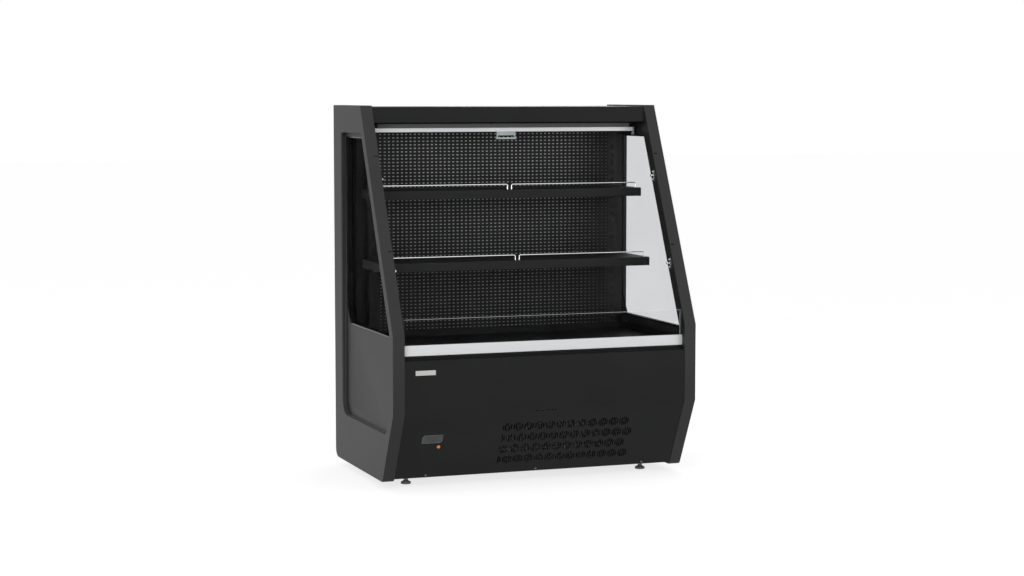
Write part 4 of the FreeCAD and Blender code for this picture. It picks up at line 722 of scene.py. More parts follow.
def button_head(radius: float, height: float, place: Matrix, into: Shape | None = None, steps: int = 20) -> Shape:
    """A domed screw head with a round socket, its seat on the place's XY plane.

    Args:
        radius: the head's radius.
        height: how far it stands up.
        place: where it goes.
        into: a shape that it is added to, or None for a new one.
        steps: how many sides it has.

    Returns:
        The shape.
    """
    profile = [
        (0, 0), (radius, 0), (radius, height * 0.3), (radius * 0.88, height * 0.72),
        (radius * 0.62, height), (radius * 0.42, height), (radius * 0.38, height * 0.45), (0, height * 0.35),
    ]
    return turned(profile, steps, into, place)


def heads(shape: Shape, size: tuple[float, float], way: Spot, spots: Iterable[Spot], steps: int) -> None:
    """Adds a screw or rivet head at each spot.

    Args:
        shape: the shape that they are added to.
        size: their radius and height.
        way: the direction that they stand up in.
        spots: the places of their seats.
        steps: how many sides each has.
    """
    for spot in spots:
        button_head(*size, facing(way, spot), shape, steps)


def facing(direction: Spot, spot: Spot) -> Matrix:
    """A place at a spot whose Z axis points in a direction."""
    turn = Vector(direction).to_track_quat("Z", "Y").to_matrix().to_4x4()
    return Matrix.Translation(spot) @ turn


def placed(name: str, data: bpy.types.ID) -> Piece:
    """Adds an object to the scene, at the origin."""
    piece = bpy.data.objects.new(name, data)
    bpy.context.scene.collection.objects.link(piece)
    return piece


def finished(name: str, shape: Shape, finishes: Iterable[Finish], crease: float = CREASE) -> Piece:
    """Turns a shape into an object.

    Args:
        name: the object's name.
        shape: its mesh, which is used up.
        finishes: a finish for each material index.
        crease: edges sharper than this stay sharp.

    Returns:
        The object.
    """
    mesh = bpy.data.meshes.new(name)
    shape.to_mesh(mesh)
    shape.free()
    for finish in finishes:
        mesh.materials.append(finish.material())
    mesh.polygons.foreach_set("use_smooth", [True] * len(mesh.polygons))
    mesh.set_sharp_from_angle(angle=crease)
    return placed(name, mesh)


@dataclass
class Assembly:
    """A sub-assembly that keeps the pieces that it has made."""

    made: list[Piece] = field(default_factory=list, init=False)

    def build(self) -> None:
        """Builds and dresses every piece; each sub-assembly has its own."""
        raise NotImplementedError

    def add(self, name: str, shape: Shape, finishes: Finish | list[Finish], body: str = "cabinet",
            nodes: Iterable[str] = (), crease: float = CREASE) -> Piece:
        """Makes a shape a finished piece.

        Args:
            name: the piece's name.
            shape: its mesh, which is used up.
            finishes: its finish, or one for each material index.
            body: the CAD body that it rides on.
            nodes: the CAD nodes that it stands for.
            crease: edges sharper than this stay sharp.

        Returns:
            The piece.
        """
        finishes = [finishes] if isinstance(finishes, Finish) else finishes
        piece = finished(name, shape, finishes, crease)
        even = piece.modifiers.new("even_shading", "WEIGHTED_NORMAL")
        even.keep_sharp = True
        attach(piece, body)
        if nodes:
            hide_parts(*nodes)
        self.made.append(piece)
        return piece

    def stand_in(self, node: str, shape: Shape, finishes: Finish | list[Finish], crease: float = CREASE) -> Piece:
        """Makes a shape the piece that takes a CAD node's place on its body."""
        return self.add(node + "_made", shape, finishes, frame["nodes"][node]["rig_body"], [node], crease)

    def copy(self, node: str, finish: Finish, width: float = 0.0005, segments: int = 2,
             chosen: EdgeTest | None = None) -> Piece:
        """Replaces a CAD node by a copy with rounded corners and the node's own name plus a word.

        Args:
            node: the CAD node.
            finish: the copy's finish.
            width: the rounding's reach, or 0 for none.
            segments: faces across the rounding.
            chosen: says which edges are rounded, or None for all.

        Returns:
            The piece.
        """
        shape = node_shape(node)
        if width:
            soften(shape, width, segments, chosen)
        return self.stand_in(node, shape, finish)

    def dress(self, finish: Finish, *nodes: str) -> None:
        """Gives CAD nodes that stay a finish of their own."""
        for node in nodes:
            piece = frame["nodes"][node]
            piece.data.materials.clear()
            piece.data.materials.append(finish.material())
            self.made.append(piece)

    def report(self) -> None:
        """Logs every piece with its number of faces."""
        for piece in self.made:
            log.info("%s: %s, %d faces", type(self).__name__, piece.name, len(piece.data.polygons))


# --- end panels and their windows


@dataclass
class EndPanels(Assembly):
    """The two foam-filled end panels, with their double glazing."""

    edge_rounding: float = 0.0025
    rim_rounding: float = 0.0055
    floor_rounding: float = 0.002
    window_rounding: float = 0.0008
    pane_arris: float = 0.0005
    pane_border: float = 0.0045
    spacer_inset: float = 0.0020
    spacer_width: float = 0.0025
    spacer_x: tuple[float, float] = (0.582, 0.6015)
    slot_levels: tuple[float, ...] = (1.275, 0.917)
    slot_reach: float = 0.0018
    least_edge: float = 0.0005
    least_pane: float = 0.1
    centre: Spot = (0, 0.05, 0.78)

    def build(self) -> None:
        """Builds panels, panes and spacers."""
        for side in Side:
            self.panel(side)
            self.panes(side)
        self.spacers()

    def opens_inward(self, edge: bmesh.types.BMEdge) -> bool:
        """True if the wall beside an edge faces the panel's middle, as a recess's wall does."""
        towards = Vector(self.centre) - (edge.verts[0].co + edge.verts[1].co) / 2
        walls = [face for face in edge.link_faces if abs(face.normal.x) < 0.5]
        return any(face.normal.y * towards.y + face.normal.z * towards.z > 0 for face in walls)

    def panel(self, side: Side) -> None:
        """Builds one end panel with its soft outer edges, recess rim and window rim."""
        node = "end_panel_" + side.name.lower()
        shape = node_shape(node)
        for distance, rim, width, segments in (
            (HALF_WIDTH, True, self.rim_rounding, 4),
            (HALF_WIDTH, False, self.edge_rounding, 3),
            (INNER_HALF, False, self.edge_rounding, 3),
            (WEB_HALF, False, self.floor_rounding, 2),
            (INNER_HALF, True, self.window_rounding, 2),
        ):
            soften(shape, width, segments, lambda edge: all_at(edge.verts, Axis.X, side.value * distance)
                   and self.opens_inward(edge) == rim and edge.calc_length() > self.least_edge)
        # The slots' faces take the black spacer finish: painted shade inside the slots.
        mark(shape, lambda face: any(
            all_at(face.verts, Axis.Z, level, self.slot_reach) for level in self.slot_levels
        ))
        self.stand_in(node, shape, [PANEL_SHELL, SPACER])

    def panes(self, side: Side) -> None:
        """Builds the two panes of one window, each with a black enamel border over the spacer."""
        node = "side_glass_" + side.name.lower()
        shape = node_shape(node)
        soften(shape, self.pane_arris, 1)
        clear = [face for face in shape.faces if abs(face.normal.x) > 0.9]
        bmesh.ops.inset_individual(shape, faces=clear, thickness=self.pane_border, depth=0.0)
        mark(shape, lambda face: face not in clear)
        self.stand_in(node, shape, [WINDOW_GLASS, ENAMEL_BORDER])

    def spacers(self) -> None:
        """Builds the slim black bars between the panes, behind the enamel border."""
        both = bmesh.new()
        for side in Side:
            pane = node_shape("side_glass_" + side.name.lower())
            near = side.value * self.spacer_x[0]
            outline = next(
                [vert.co.copy() for vert in face.verts]
                for face in pane.faces
                if face.calc_area() > self.least_pane and all_at(face.verts, Axis.X, near)
            )
            pane.free()
            ring = bmesh.new()
            centre = ring.faces.new([ring.verts.new(spot) for spot in outline])
            ring.normal_update()
            waste, band = (
                bmesh.ops.inset_region(ring, faces=[centre], thickness=width, use_boundary=True,
                                       use_even_offset=True)["faces"]
                for width in (self.spacer_inset, self.spacer_width)
            )
            bmesh.ops.delete(ring, geom=[*waste, centre], context="FACES")
            pulled(ring, band, (side.value * (self.spacer_x[1] - self.spacer_x[0]), 0, 0))
            joined(ring, both)
        self.stand_in("glass_spacers", both, SPACER)


# --- outer shell


@dataclass
class OuterShell(Assembly):
    """Insulated tub and canopy with the sheets and fixings that show outside."""

    skin: float = 0.0002
    skin_width: float = 1.14
    skin_margin: float = 0.03
    swage: tuple[float, float] = (0.004, 0.0006)
    rivet: tuple[float, float] = (0.004, 0.0007)
    louvre_depth: float = 0.009

    def build(self) -> None:
        """Builds the shell's skins, fascia and rear grille."""
        self.dress(RAIL_PAINT, "insulated_floor", "insulated_front")
        self.copy("insulated_back", BLACK_SHEET, 0.001)
        self.copy("canopy", BLACK_SHEET, 0.001)
        self.copy("canopy_fascia", BLACK_SHEET, 0.0006)
        self.copy("rear_grille", BLACK_SHEET, 0)
        self.rear_skin()
        self.canopy_skin()
        self.louvres()

    def rear_skin(self) -> None:
        """Builds the rear sheet: three pressed panels and a row of rivets round them."""
        low_z, high_z = 0.336, 1.412
        shape = bmesh.new()
        bmesh.ops.create_grid(shape, x_segments=3, y_segments=1, size=0.5)
        place = Matrix.Translation((0, REAR_Y - 0.001, (low_z + high_z) / 2)) @ UPRIGHT
        stood_up(shape, place @ Matrix.Diagonal((self.skin_width, high_z - low_z, 1, 1)), 1)
        outer = pulled(shape, shape.faces[:], (0, self.skin, 0))
        bmesh.ops.inset_individual(shape, faces=outer, thickness=self.skin_margin, depth=0.0)
        bmesh.ops.inset_individual(shape, faces=outer, thickness=self.swage[0], depth=self.swage[1])
        spots = [(x, z) for x in (-0.555, -0.19, 0.19, 0.555) for z in (0.36, 0.62, 0.874, 1.13, 1.388)]
        spots += [(x, z) for x in (-0.37, 0.0, 0.37) for z in (0.35, 1.398)]
        rivets = bmesh.new()
        heads(rivets, self.rivet, (0, 1, 0), [(x, REAR_Y - 0.0008, z) for x, z in spots], 14)
        self.add("rear_skin", shape, BLACK_SHEET)
        self.add("rear_skin_rivets", rivets, DULL_ZINC)

    def canopy_skin(self) -> None:
        """Builds the canopy's top sheet with a raised standing edge and its screws."""
        shape = slab((-0.572, 0.02, 1.463), (0.572, 0.4, 1.4642))
        soften(shape, 0.0005, 1)
        pressed(shape, facing_faces(shape, (0, 0, 1)), 0.018, 0.003, 0.0006)
        spots = [(x, 0.391) for x in (-0.562, -0.28, 0.0, 0.28, 0.562)]
        spots += [(x, y) for x in (-0.562, 0.562) for y in (0.15, 0.27)]
        heads(shape, (0.0045, 0.0003), (0, 0, 1), [(x, y, 1.4642) for x, y in spots], 16)
        self.add("canopy_top_skin", shape, BLACK_SHEET)

    def louvres(self) -> None:
        """Builds the pressed blades behind the rear slots, and the grille's screws."""
        shape = bmesh.new()
        reach, top, thick = 0.115, 0.006, 0.0009
        outer = REAR_Y - 0.0025
        inner = outer - self.louvre_depth
        for column in (-0.28, 0.0, 0.28):
            for row in range(9):
                base = 0.0935 + 0.022 * row
                low = base - 0.001
                blade = [(outer, base + top), (outer, base + top + 0.0015), (inner, low + thick), (inner, low)]
                joined(extruded(blade, column - reach, column + reach), shape)
        self.add("rear_louvre_blades", shape, BLACK_SHEET)
        screws = bmesh.new()
        spots = [(x, 0.404, z) for x in (-0.553, -0.42, -0.14, 0.14, 0.42, 0.553) for z in (0.075, 0.318)]
        heads(screws, (0.0045, 0.001), (0, 1, 0), spots, 16)
        self.add("rear_grille_screws", screws, DULL_ZINC)


# --- night blind


@dataclass
class NightBlind(Assembly):
    """Blind cassette, roller, wound and hanging fabric, pull bar, handle, hooks and catches."""

    half: float = 0.538
    cloth: float = 0.0006
    wound_cloth: float = 0.0003
    bar_top: float = 1.380
    core_radius: float = 0.014
    wound_radius: float = 0.0174
    turns: float = 9.0
    steps: int = 24

    def build(self) -> None:
        """Builds the blind from its cassette down to its catches."""
        self.copy("blind_cassette", CASSETTE_PAINT, 0.0006)
        self.copy("blind_roller", ROLLER_ZINC, 0.0005)
        self.hanging_cloth()
        self.wound_roll()
        self.bar()
        self.copy("blind_handle", HANDLE, 0.0011, 3)
        self.copy("blind_bar_hooks", HOOK, 0.0006)
        self.catches()

    def cloth_piece(self, name: str, rows: int, spot: Callable[[float, float], Vector], length: float,
                    thickness: float, body: str | None) -> Piece:
        """A strip of the blind's fabric, both faces and its hems.

        Args:
            name: the piece's name.
            rows: how many rows of faces it has along its length.
            spot: gives the place of a point from its share of the width and of the length.
            length: its flat length.
            thickness: the fabric's thickness.
            body: the body that it rides on, or None for no body.

        Returns:
            The piece.
        """
        shape = bmesh.new()
        bmesh.ops.create_grid(shape, x_segments=6, y_segments=rows, size=0.5)
        uv = shape.loops.layers.uv.new("cloth")
        for face in shape.faces:
            for loop in face.loops:
                share = loop.vert.co
                loop[uv].uv = ((share.x + 0.5) * 2 * self.half, (share.y + 0.5) * length)
        for vert in shape.verts:
            vert.co = spot(vert.co.x + 0.5, vert.co.y + 0.5)
        shape.normal_update()
        bmesh.ops.solidify(shape, geom=shape.faces[:], thickness=thickness)
        outward(shape)
        piece = finished(name, shape, [FABRIC])
        if body is not None:
            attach(piece, body)
        self.made.append(piece)
        return piece

    def hanging_cloth(self) -> None:
        """Builds the strip between the roll and the bar."""
        length = ROLLER.z - self.bar_top + 0.002
        foot = self.bar_top - 0.002

        def spot(across: float, along: float) -> Vector:
            return Vector(((2 * across - 1) * self.half, BLIND_Y + self.cloth / 2, foot + along * length))

        piece = self.cloth_piece("blind_cloth_hanging", self.steps, spot, length, self.cloth, None)
        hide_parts("blind_sheet")
        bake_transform(piece)

    def wound_roll(self) -> None:
        """Builds the fabric wound on the roller as one long spiral."""
        rise = self.wound_radius - self.core_radius - self.wound_cloth
        length = math.tau * self.turns * (self.core_radius + rise / 2)

        def spot(across: float, along: float) -> Vector:
            angle = math.tau * self.turns * (along - 1)
            radius = self.core_radius + self.wound_cloth + rise * along
            return ROLLER + Vector(((2 * across - 1) * self.half, -radius * math.cos(angle), radius * math.sin(angle)))

        rows = self.steps * int(self.turns)
        piece = self.cloth_piece("blind_cloth_wound", rows, spot, length, self.wound_cloth, "blind_roller")
        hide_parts("blind_roll")

    def bar(self) -> None:
        """Builds the extruded pull bar with its fine groove."""
        y0, y1, z0, z1 = 0.065, 0.077, 1.364, 1.380
        profile = [
            (y0, z0 + 0.0008), (y0, z1 - 0.0036), (y0 + 0.0004, z1 - 0.0033), (y0 + 0.0004, z1 - 0.0029),
            (y0, z1 - 0.0026), (y0, z1 - 0.0008), (y0 + 0.0008, z1), (y1 - 0.0008, z1), (y1, z1 - 0.0008),
            (y1, z0 + 0.0008), (y1 - 0.0008, z0), (y0 + 0.0008, z0),
        ]
        self.stand_in("blind_bar", extruded(profile, -0.55, 0.55), ALUMINIUM)

    def catches(self) -> None:
        """Builds the four catches: a rounded plate with a headed peg and two screws."""
        shape = node_shape("blind_catches")
        soften(shape, 0.0009, 2)
        slant_foot = 0.609
        slant = (0.014 - FRONT_Y) / (1.470 - slant_foot)
        for side in Side:
            for height in (1.186, 0.842):
                y = FRONT_Y + (height - slant_foot) * slant + 0.036
                way = (-side.value, 0, 0)
                x = side.value * (INNER_HALF - 0.003)
                heads(shape, (0.0036, 0.0018), way, [(x, y, height + rise) for rise in (-0.015, 0.015)], 16)
                place = facing(way, (side.value * (INNER_HALF - 0.010), y, height))
                turned([(0, 0), (0.0052, 0), (0.0056, 0.0008), (0.0052, 0.0022), (0.004, 0.003), (0, 0.003)],
                       20, shape, place)
        self.stand_in("blind_catches", shape, CHROME)


# --- air outlet and lamp


@dataclass
class CanopyUnderside(Assembly):
    """Hexagonal comb of the air outlet, and the lamp strip on the cassette."""

    columns: int = 132
    row_pairs: int = 4
    wall: float = 0.0005
    cell_radius: float = 0.0049
    margin: float = 0.0025
    middle_y: float = 0.1504

    def build(self) -> None:
        """Builds the comb and the lamp."""
        low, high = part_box("air_outlet_honeycomb")
        self.comb(low, high)
        self.comb_frame(low, high)
        self.lamp()
        self.lip()

    def lip(self) -> None:
        """Builds a black strip under the fascia, in front of the blind, that stands in for the shadow in the gap there:
        painted shade.
        """
        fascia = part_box("canopy_fascia")[0]
        shape = slab((fascia.x + 0.0005, 0.0125, fascia.z - 0.0056), (-fascia.x - 0.0005, 0.0185, fascia.z + 0.0001))
        soften(shape, 0.0008, 2)
        self.add("fascia_lip", shape, BLACK_SHADE_STRIP)

    def lamp(self) -> None:
        """Builds the lamp: a black housing whose underside is the lens."""
        shape = node_shape("canopy_lamp")
        soften(shape, 0.002, 3)
        mark(shape, lambda face: face.normal.z > -STRAIGHT)
        self.stand_in("canopy_lamp", shape, [LENS, CASSETTE_PAINT])

    def comb(self, low: Vector, high: Vector) -> None:
        """Builds the field of hexagonal cells from one pair of cells."""
        pitch = (high.x - low.x - 2 * self.margin) / (self.columns + 0.5)
        radius = self.cell_radius
        shape = bmesh.new()
        depth = high.z - low.z - 0.002
        for shift, row in ((0.0, 0.0), (0.5, 1.0)):
            across = low.x + self.margin + pitch * (0.5 + shift)
            centre = Vector((across, self.middle_y - 4.5 * radius + 1.5 * radius * row, low.z + 0.001))
            stretch = Matrix.Translation(centre) @ Matrix.Diagonal((pitch / (radius * math.sqrt(3)), 1, 1, 1))
            ring = bmesh.ops.create_circle(shape, segments=6, radius=radius, matrix=stretch, cap_ends=True)["verts"]
            face = ring[0].link_faces[0]
            bmesh.ops.inset_region(shape, faces=[face], thickness=self.wall, depth=0.0)
            wall = bmesh.ops.extrude_face_region(shape, geom=[face])["geom"]
            top = [item for item in wall if isinstance(item, Face)]
            bmesh.ops.translate(shape, verts=list(top[0].verts), vec=(0, 0, depth))
            bmesh.ops.delete(shape, geom=top, context="FACES_ONLY")
        piece = self.add("air_outlet_comb", shape, OUTLET, "cabinet", ["air_outlet_honeycomb"])
        repeated(piece, "cells", ((self.columns, (pitch, 0, 0)), (self.row_pairs, (0, 3 * radius, 0))), False)

    def comb_frame(self, low: Vector, high: Vector) -> None:
        """Builds the frame round the comb, with rounded edges."""
        shape = hollowed(slab(low, high), Axis.Z, 0.0042)
        soften(shape, 0.0006, 2)
        self.add("air_outlet_frame", shape, OUTLET, "cabinet", ["air_outlet_honeycomb"])


# --- display interior


@dataclass
class Interior(Assembly):
    """Perforated back panel, slotted uprights, shelves and deck."""

    columns: int = 55
    rows: int = 61
    hole_width: float = 0.0090
    hole_height: float = 0.0043
    sheet: float = 0.0012
    sheet_y: float = 0.198
    cover_low: float = 0.585
    cover_high: float = 1.352

    def build(self) -> None:
        """Builds the interior from its back to its deck."""
        self.perforated_panel()
        self.panel_flanges()
        self.backing()
        self.copy("uprights", BRACKET_PAINT, 0.0005, 2, lambda edge: edge.calc_length() > 0.03)
        for level in ("upper", "lower"):
            self.copy("shelf_" + level, INNER_SHEET, 0.0007, 2)
            self.copy(f"shelf_{level}_brackets", ARM_PAINT, 0.0003, 1)
            self.copy(f"shelf_{level}_wire_stops", CHROME, 0)
        self.copy("deck_pans", INNER_SHEET, 0.0006)
        self.copy("return_air_grille", INNER_SHEET, 0)
        self.duct_covers()

    def duct_covers(self) -> None:
        """Builds the folded strips that close the air duct's ends beside the windows."""
        both = bmesh.new()
        for side in Side:
            far, near, lip = (side.value * x for x in (0.5772, 0.5764, 0.5652))
            shape = slab((min(near, far), 0.2465, self.cover_low), (max(near, far), 0.300, self.cover_high))
            slab((min(near, lip), 0.299, self.cover_low), (max(near, lip), 0.300, self.cover_high), shape)
            soften(shape, 0.0002, 1)
            joined(shape, both)
        self.add("duct_end_covers", both, INNER_SHEET)

    def perforated_panel(self) -> None:
        """Builds the perforated sheet from one cell round one hole."""
        low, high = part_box("back_panel")
        pitch_x, pitch_z = (high.x - low.x) / self.columns, (high.z - low.z) / self.rows
        shape = bmesh.new()
        bmesh.ops.create_circle(shape, segments=8, radius=1.0)
        rim = shape.edges[:]
        corner = Vector((0.8, 0.86))
        for vert in shape.verts:
            far = Vector((round(vert.co.x * 2) / 2, round(vert.co.y * 2) / 2))
            slanting = abs(vert.co.x) > 0.1 and abs(vert.co.y) > 0.1
            share = Vector((math.copysign(corner.x, far.x), math.copysign(corner.y, far.y))) if slanting else vert.co.xy
            vert.co = (share.x * self.hole_width / 2, share.y * self.hole_height / 2, 0)
        grown = bmesh.ops.extrude_edge_only(shape, edges=rim)["geom"]
        for vert in (item for item in grown if isinstance(item, bmesh.types.BMVert)):
            step_x = 0 if abs(vert.co.x) < 1e-6 else math.copysign(pitch_x / 2, vert.co.x)
            step_y = 0 if abs(vert.co.y) < 1e-6 else math.copysign(pitch_z / 2, vert.co.y)
            vert.co = (step_x, step_y, 0)
        place = Matrix.Translation((low.x + pitch_x / 2, self.sheet_y, low.z + pitch_z / 2))
        stood_up(shape, place @ UPRIGHT, -1)
        piece = self.add("back_panel_perforated", shape, INNER_SHEET, "cabinet", ["back_panel"])
        repeated(piece, "holes", ((self.columns, (pitch_x, 0, 0)), (self.rows, (0, 0, pitch_z))), True)
        wall = piece.modifiers.new("sheet", "SOLIDIFY")
        wall.thickness = self.sheet
        wall.offset = -1.0

    def panel_flanges(self) -> None:
        """Builds the bent head and foot of the perforated sheet."""
        low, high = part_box("back_panel")
        bend = self.sheet
        shape = bmesh.new()
        for level, front, up in ((high.z, 0.184, -1), (low.z, 0.182, 1)):
            profile = [
                (front, level), (self.sheet_y - 0.0012, level), (self.sheet_y, level + up * 0.0004),
                (self.sheet_y, level + up * bend * 1.4), (self.sheet_y - 0.0008, level + up * bend),
                (front, level + up * bend),
            ]
            joined(extruded(profile, low.x, high.x), shape)
        self.add("back_panel_flanges", shape, INNER_SHEET, "cabinet", ["back_panel"])

    def backing(self) -> None:
        """Builds the pale sheet that shows grey through the perforations."""
        shape = slab((-0.497, 0.1994, 0.536), (0.497, 0.1999, 1.387))
        soften(shape, 0.0001, 1)
        self.add("back_panel_backing", shape, BACKING)


# --- bumper and riser glass


@dataclass
class FrontEdge(Assembly):
    """Rail, silver bumper, riser glass and its two end holders."""

    def build(self) -> None:
        """Builds the front edge of the deck."""
        self.copy("bumper_rail", RAIL_PAINT, 0.0006)
        self.bumper()
        self.glass()
        self.copy("riser_glass_holders", BRACKET_PAINT, 0.0012, 2)

    def bumper(self) -> None:
        """Builds the bumper with rounded edges and a shadow line above its foot."""
        low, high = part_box("bumper")
        y0, y1, z0, z1 = low.y, high.y, low.z, high.z
        foot = z0 + 0.0094
        profile = [
            (y0, z0 + 0.0022), (y0, foot - 0.0004), (y0 + 0.0008, foot), (y0 + 0.0008, foot + 0.0004),
            (y0, foot + 0.0008), (y0, z1 - 0.0022), (y0 + 0.0006, z1 - 0.0008), (y0 + 0.0022, z1), (y1, z1),
            (y1, z0), (y0 + 0.0022, z0), (y0 + 0.0006, z0 + 0.0008),
        ]
        shape = extruded(profile, low.x, high.x)
        mark(shape, lambda face: abs(face.normal.x) < 0.5 and face.calc_center_median().z < foot + 0.0006)
        self.stand_in("bumper", shape, [BUMPER, BLACK_SHEET])

    def glass(self) -> None:
        """Builds the riser glass with ground and polished edges."""
        shape = node_shape("riser_glass")
        soften(shape, 0.0006, 2)
        mark(shape, lambda face: abs(face.normal.y) < STRAIGHT)
        self.stand_in("riser_glass", shape, [RISER_GLASS, GLASS_EDGE])


# --- front panel and controls


@dataclass
class FrontPanel(Assembly):
    """Black front panel with its screws, bare badge, controller and light button."""

    screw_spots: tuple[float, ...] = (-0.453, 0.0, 0.453)
    screw_rise: float = 0.009
    key_radius: float = 0.0026

    def build(self) -> None:
        """Builds the panel and everything fixed in it."""
        self.copy("front_panel", BLACK_SHEET, 0.0007, 2, lambda edge: edge.calc_length() > 0.2)
        self.screws()
        self.badge()
        self.copy("controller", CONTROL, 0.0003, 1)
        self.controller_face()
        self.copy("button_socket", CONTROL, 0.0003, 1)
        self.copy("light_button", BUTTON, 0.0011, 3)
        self.baffle()

    def baffle(self) -> None:
        """Builds the sheet beside the condenser, which blinds the last vents on the right."""
        left, right, depth = 0.321, 0.560, 0.0125
        low, high = -TOE_LENGTH + 0.02, -0.045
        shape = slab((left, depth, low), (right, depth + 0.001, high))
        pressed(shape, facing_faces(shape, (0, -1, 0)), 0.006, 0.0015, 0.0006)
        slab((right - 0.001, 0.0015, low), (right, depth, high), shape)
        soften(shape, 0.0002, 1)
        moved(shape, TOE_PLANE)
        self.add("condenser_baffle", shape, BLACK_SHEET)

    def screws(self) -> None:
        """Builds the three panel screws with their shanks."""
        shape = bmesh.new()
        for x in self.screw_spots:
            place = TOE_PLANE @ facing((0, -1, 0), (x, 0, -TOE_LENGTH + self.screw_rise))
            button_head(0.004, 0.002, place, shape, 24)
            turned([(0, 0), (0.002, 0), (0.002, -0.0084), (0.0014, -0.009), (0, -0.009)], 16, shape, place)
        self.stand_in("front_panel_screws", shape, DULL_ZINC)

    def badge(self) -> None:
        """Builds the bare badge plate with a raised rim."""
        low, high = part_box("badge_plate")
        shape = slab(low, high)
        soften(shape, 0.0003, 2)
        pressed(shape, facing_faces(shape, (0, -1, 0)), 0.0008, 0.0003, 0.0003)
        self.stand_in("badge_plate", shape, BADGE)

    def controller_face(self) -> None:
        """Builds the controller's face plate, rim, display lens and keys; the rim's pale tone is a painted highlight.
        """
        left, drop, width, height = -0.495, -0.1, 0.09, 0.045
        floor = 0.0095

        def outline(margin: float, corner: float) -> Outline:
            low_x, high_x = left + margin, left + width - margin
            low_z, high_z = drop - height + margin, drop - margin
            return [(low_x, low_z), (high_x - corner, low_z), (high_x, low_z + corner), (high_x, high_z),
                    (low_x + corner, high_z), (low_x, high_z - corner)]

        def plate(corners: Outline, near: float, far: float) -> Shape:
            made = bmesh.new()
            face = made.faces.new([made.verts.new((x, far, z)) for x, z in corners])
            pulled(made, [face], (0, near - far, 0))
            return made

        bezel = hollowed(plate(outline(0.0001, 0.009), 0.0006, 0.0026), Axis.Y, 0.0034)
        rim = hollowed(plate(outline(0.0036, 0.0085), 0.0009, 0.0024), Axis.Y, 0.001)
        face_plate = plate(outline(0.001, 0.0085), floor - 0.0068, floor + 0.0002)
        soften(face_plate, 0.0008, 2)
        lens = plate([(left + 0.020, drop - 0.034), (left + 0.062, drop - 0.034),
                      (left + 0.062, drop - 0.012), (left + 0.020, drop - 0.012)], floor - 0.0074, floor - 0.006)
        soften(lens, 0.0008, 3)
        keys = bmesh.new()
        for row in (0.014, 0.0226, 0.0312):
            place = facing((0, -1, 0), (left + 0.072, floor - 0.0068, drop - row))
            turned([(0, 0), (self.key_radius, 0), (self.key_radius, 0.0006), (self.key_radius * 0.8, 0.001),
                    (0, 0.0011)], 20, keys, place)
        for name, shape, finish in (
            ("controller_bezel", bezel, BLACK_SHEET),
            ("controller_rim", rim, CONTROL_RIM), ("controller_face_plate", face_plate, CONTROL),
            ("controller_lens", lens, CONTROL_LENS), ("controller_keys", keys, CONTROL),
        ):
            moved(shape, TOE_PLANE)
            self.add(name, shape, finish)


# --- base


@dataclass
class Base(Assembly):
    """Welded base frame and four levelling feet."""

    disc_radius: float = 0.020
    thread_pitch: float = 0.0015
    stud_radius: float = 0.005
    stud_foot: float = 0.023
    nut_radius: float = 0.009
    nut_height: float = 0.010
    nut_middle: float = 0.019

    def build(self) -> None:
        """Builds the frame and its feet."""
        self.copy("base_frame", FRAME_ZINC, 0)
        for spot in ("front_left", "front_right", "rear_left", "rear_right"):
            self.foot(spot)

    def foot(self, spot: str) -> None:
        """Builds one foot: a turned disc, a hexagon and a threaded stud."""
        node = "levelling_foot_" + spot
        low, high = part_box(node)
        place = Matrix.Translation(((low.x + high.x) / 2, (low.y + high.y) / 2, 0))
        radius = self.disc_radius
        shape = turned([
            (0, 0), (radius - 0.002, 0), (radius - 0.0005, 0.0006), (radius, 0.002), (radius, 0.0066),
            (radius - 0.0006, 0.0078), (radius - 0.002, 0.0084), (0.0092, 0.0136), (0.0088, 0.0145), (0, 0.0145),
        ], 48, None, place)
        nut = bmesh.new()
        bmesh.ops.create_cone(nut, cap_ends=True, segments=6, radius1=self.nut_radius, radius2=self.nut_radius,
                              depth=self.nut_height, matrix=place @ Matrix.Translation((0, 0, self.nut_middle)))
        soften(nut, 0.0007, 2)
        joined(nut, shape)
        count = len(shape.faces)
        level = self.stud_foot
        profile = [(0, level)]
        while level < high.z - self.thread_pitch:
            profile += [(self.stud_radius - 0.0006, level), (self.stud_radius, level + self.thread_pitch / 2)]
            level += self.thread_pitch
        profile += [(self.stud_radius - 0.0008, high.z - 0.0008), (self.stud_radius - 0.0016, high.z), (0, high.z)]
        turned(profile, 20, shape, place)
        shape.faces.index_update()
        mark(shape, lambda face: face.index >= count)
        self.stand_in(node, shape, [FOOT, STUD], math.radians(50))


# --- cooling unit


@dataclass
class CoolingUnit(Assembly):
    """Condensing unit, electrical box and tray below the tub, and the evaporator in it."""

    def build(self) -> None:
        """Dresses the cooling unit."""
        self.dress(FINS, "condenser_coil", "evaporator_coil")
        for finish, width, segments, nodes in (
            (FAN, 0.0003, 1, ("condenser_fan", "evaporator_fan_left", "evaporator_fan_right")),
            (SHROUD, 0.0004, 1, ("condenser_fan_shroud", "evaporator_fan_plate", "electrical_box")),
            (MOTOR, 0.0015, 2, ("condenser_fan_motor",)),
            (MOTOR, 0.0008, 1, ("evaporator_fan_motors",)),
            (ENAMEL, 0.003, 3, ("compressor",)),
            (RUBBER, 0.0015, 2, ("compressor_mounts",)),
            (TRAY, 0.0008, 2, ("condensate_tray",)),
            (COPPER, 0, 1, ("refrigerant_pipes",)),
        ):
            for node in nodes:
                self.copy(node, finish, width, segments)


# --- studio


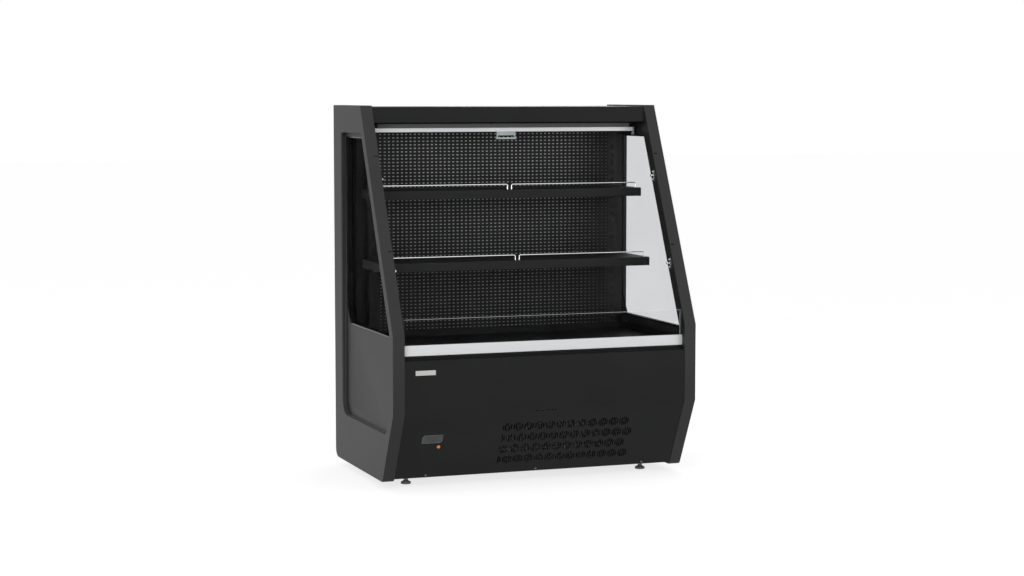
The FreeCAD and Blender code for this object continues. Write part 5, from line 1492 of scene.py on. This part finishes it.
@dataclass
class Studio:
    """Floor, world, lamps and camera of the picture."""

    camera_place: Spot = (-2.9895, -8.1490, 1.5215)
    camera_turn: Spot = (84.844, 0.0, -20.145)
    lens: float = 76.26
    target: Spot = (0, 0, 0.75)
    ambient: float = 0.62
    floor_glow: float = 0.74

    def build(self) -> None:
        """Sets up the studio."""
        bpy.context.scene.view_settings.view_transform = "Standard"
        self.floor()
        self.world()
        self.lamp("key_lamp", (-3.9, -4.8, 1.9), 3.0, 150.0)
        self.lamp("fill_lamp", (4.2, -4.0, 1.6), 3.0, 46.0)
        self.lamp("top_lamp", (0.2, -1.2, 4.6), 2.6, 18.0)
        self.lamp("rear_lamp", (2.6, 4.6, 2.2), 2.6, 60.0, seen=False)
        self.camera()

    def floor(self) -> None:
        """Builds a pale floor that stays white where no shadow falls."""
        shape = bmesh.new()
        bmesh.ops.create_grid(shape, x_segments=1, y_segments=1, size=40.0)
        mesh = bpy.data.meshes.new("floor")
        shape.to_mesh(mesh)
        shape.free()
        piece = placed("floor", mesh)
        recipe = Recipe("pale_floor")
        recipe.set(Base_Color=(0.4, 0.4, 0.4), Roughness=0.9, Specular_IOR_Level=0.0, Emission_Color=(1, 1, 1))
        recipe.feed("Emission Strength", recipe.product(recipe.background_rays(), self.floor_glow))
        mesh.materials.append(recipe.material)

    def world(self) -> None:
        """Builds a white background that gives plain ambient light."""
        world = bpy.data.worlds.new("studio")
        bpy.context.scene.world = world
        world.use_nodes = True
        net = Net(world.node_tree)
        shader = net.nodes["Background"].inputs
        shader["Color"].default_value = (1, 1, 1, 1)
        limits = {"To Min": self.ambient, "To Max": 1.0}
        net.links.new(net.node("MapRange", "Result", {"Value": net.background_rays(), **limits}), shader["Strength"])

    def lamp(self, name: str, spot: Spot, size: float, power: float, seen: bool = True) -> None:
        """Adds a soft square lamp that faces the cabinet's middle.

        Args:
            name: the lamp's name.
            spot: where it stands.
            size: the length of its sides.
            power: its power in watts.
            seen: True if the camera sees it, also through the glass.
        """
        light = bpy.data.lights.new(name, "AREA")
        light.shape, light.size, light.energy = "SQUARE", size, power
        lamp = placed(name, light)
        lamp.visible_camera = lamp.visible_transmission = seen
        lamp.location = spot
        lamp.rotation_euler = (Vector(self.target) - Vector(spot)).to_track_quat("-Z", "Y").to_euler()

    def camera(self) -> None:
        """Adds the camera at the photograph's view."""
        data = bpy.data.cameras.new("camera")
        data.lens, data.sensor_width, data.clip_end = self.lens, 36.0, 200.0
        camera = placed("camera", data)
        camera.location = self.camera_place
        camera.rotation_euler = [math.radians(angle) for angle in self.camera_turn]
        bpy.context.scene.camera = camera


def main() -> None:
    """Builds the studio and every sub-assembly, and reports the pieces."""
    logging.basicConfig(level=logging.INFO, format="%(message)s")
    Studio().build()
    for assembly in (
        EndPanels(), OuterShell(), NightBlind(), CanopyUnderside(), Interior(), FrontEdge(),
        FrontPanel(), Base(), CoolingUnit(),
    ):
        assembly.build()
        assembly.report()


if __name__ == "__main__":
    main()
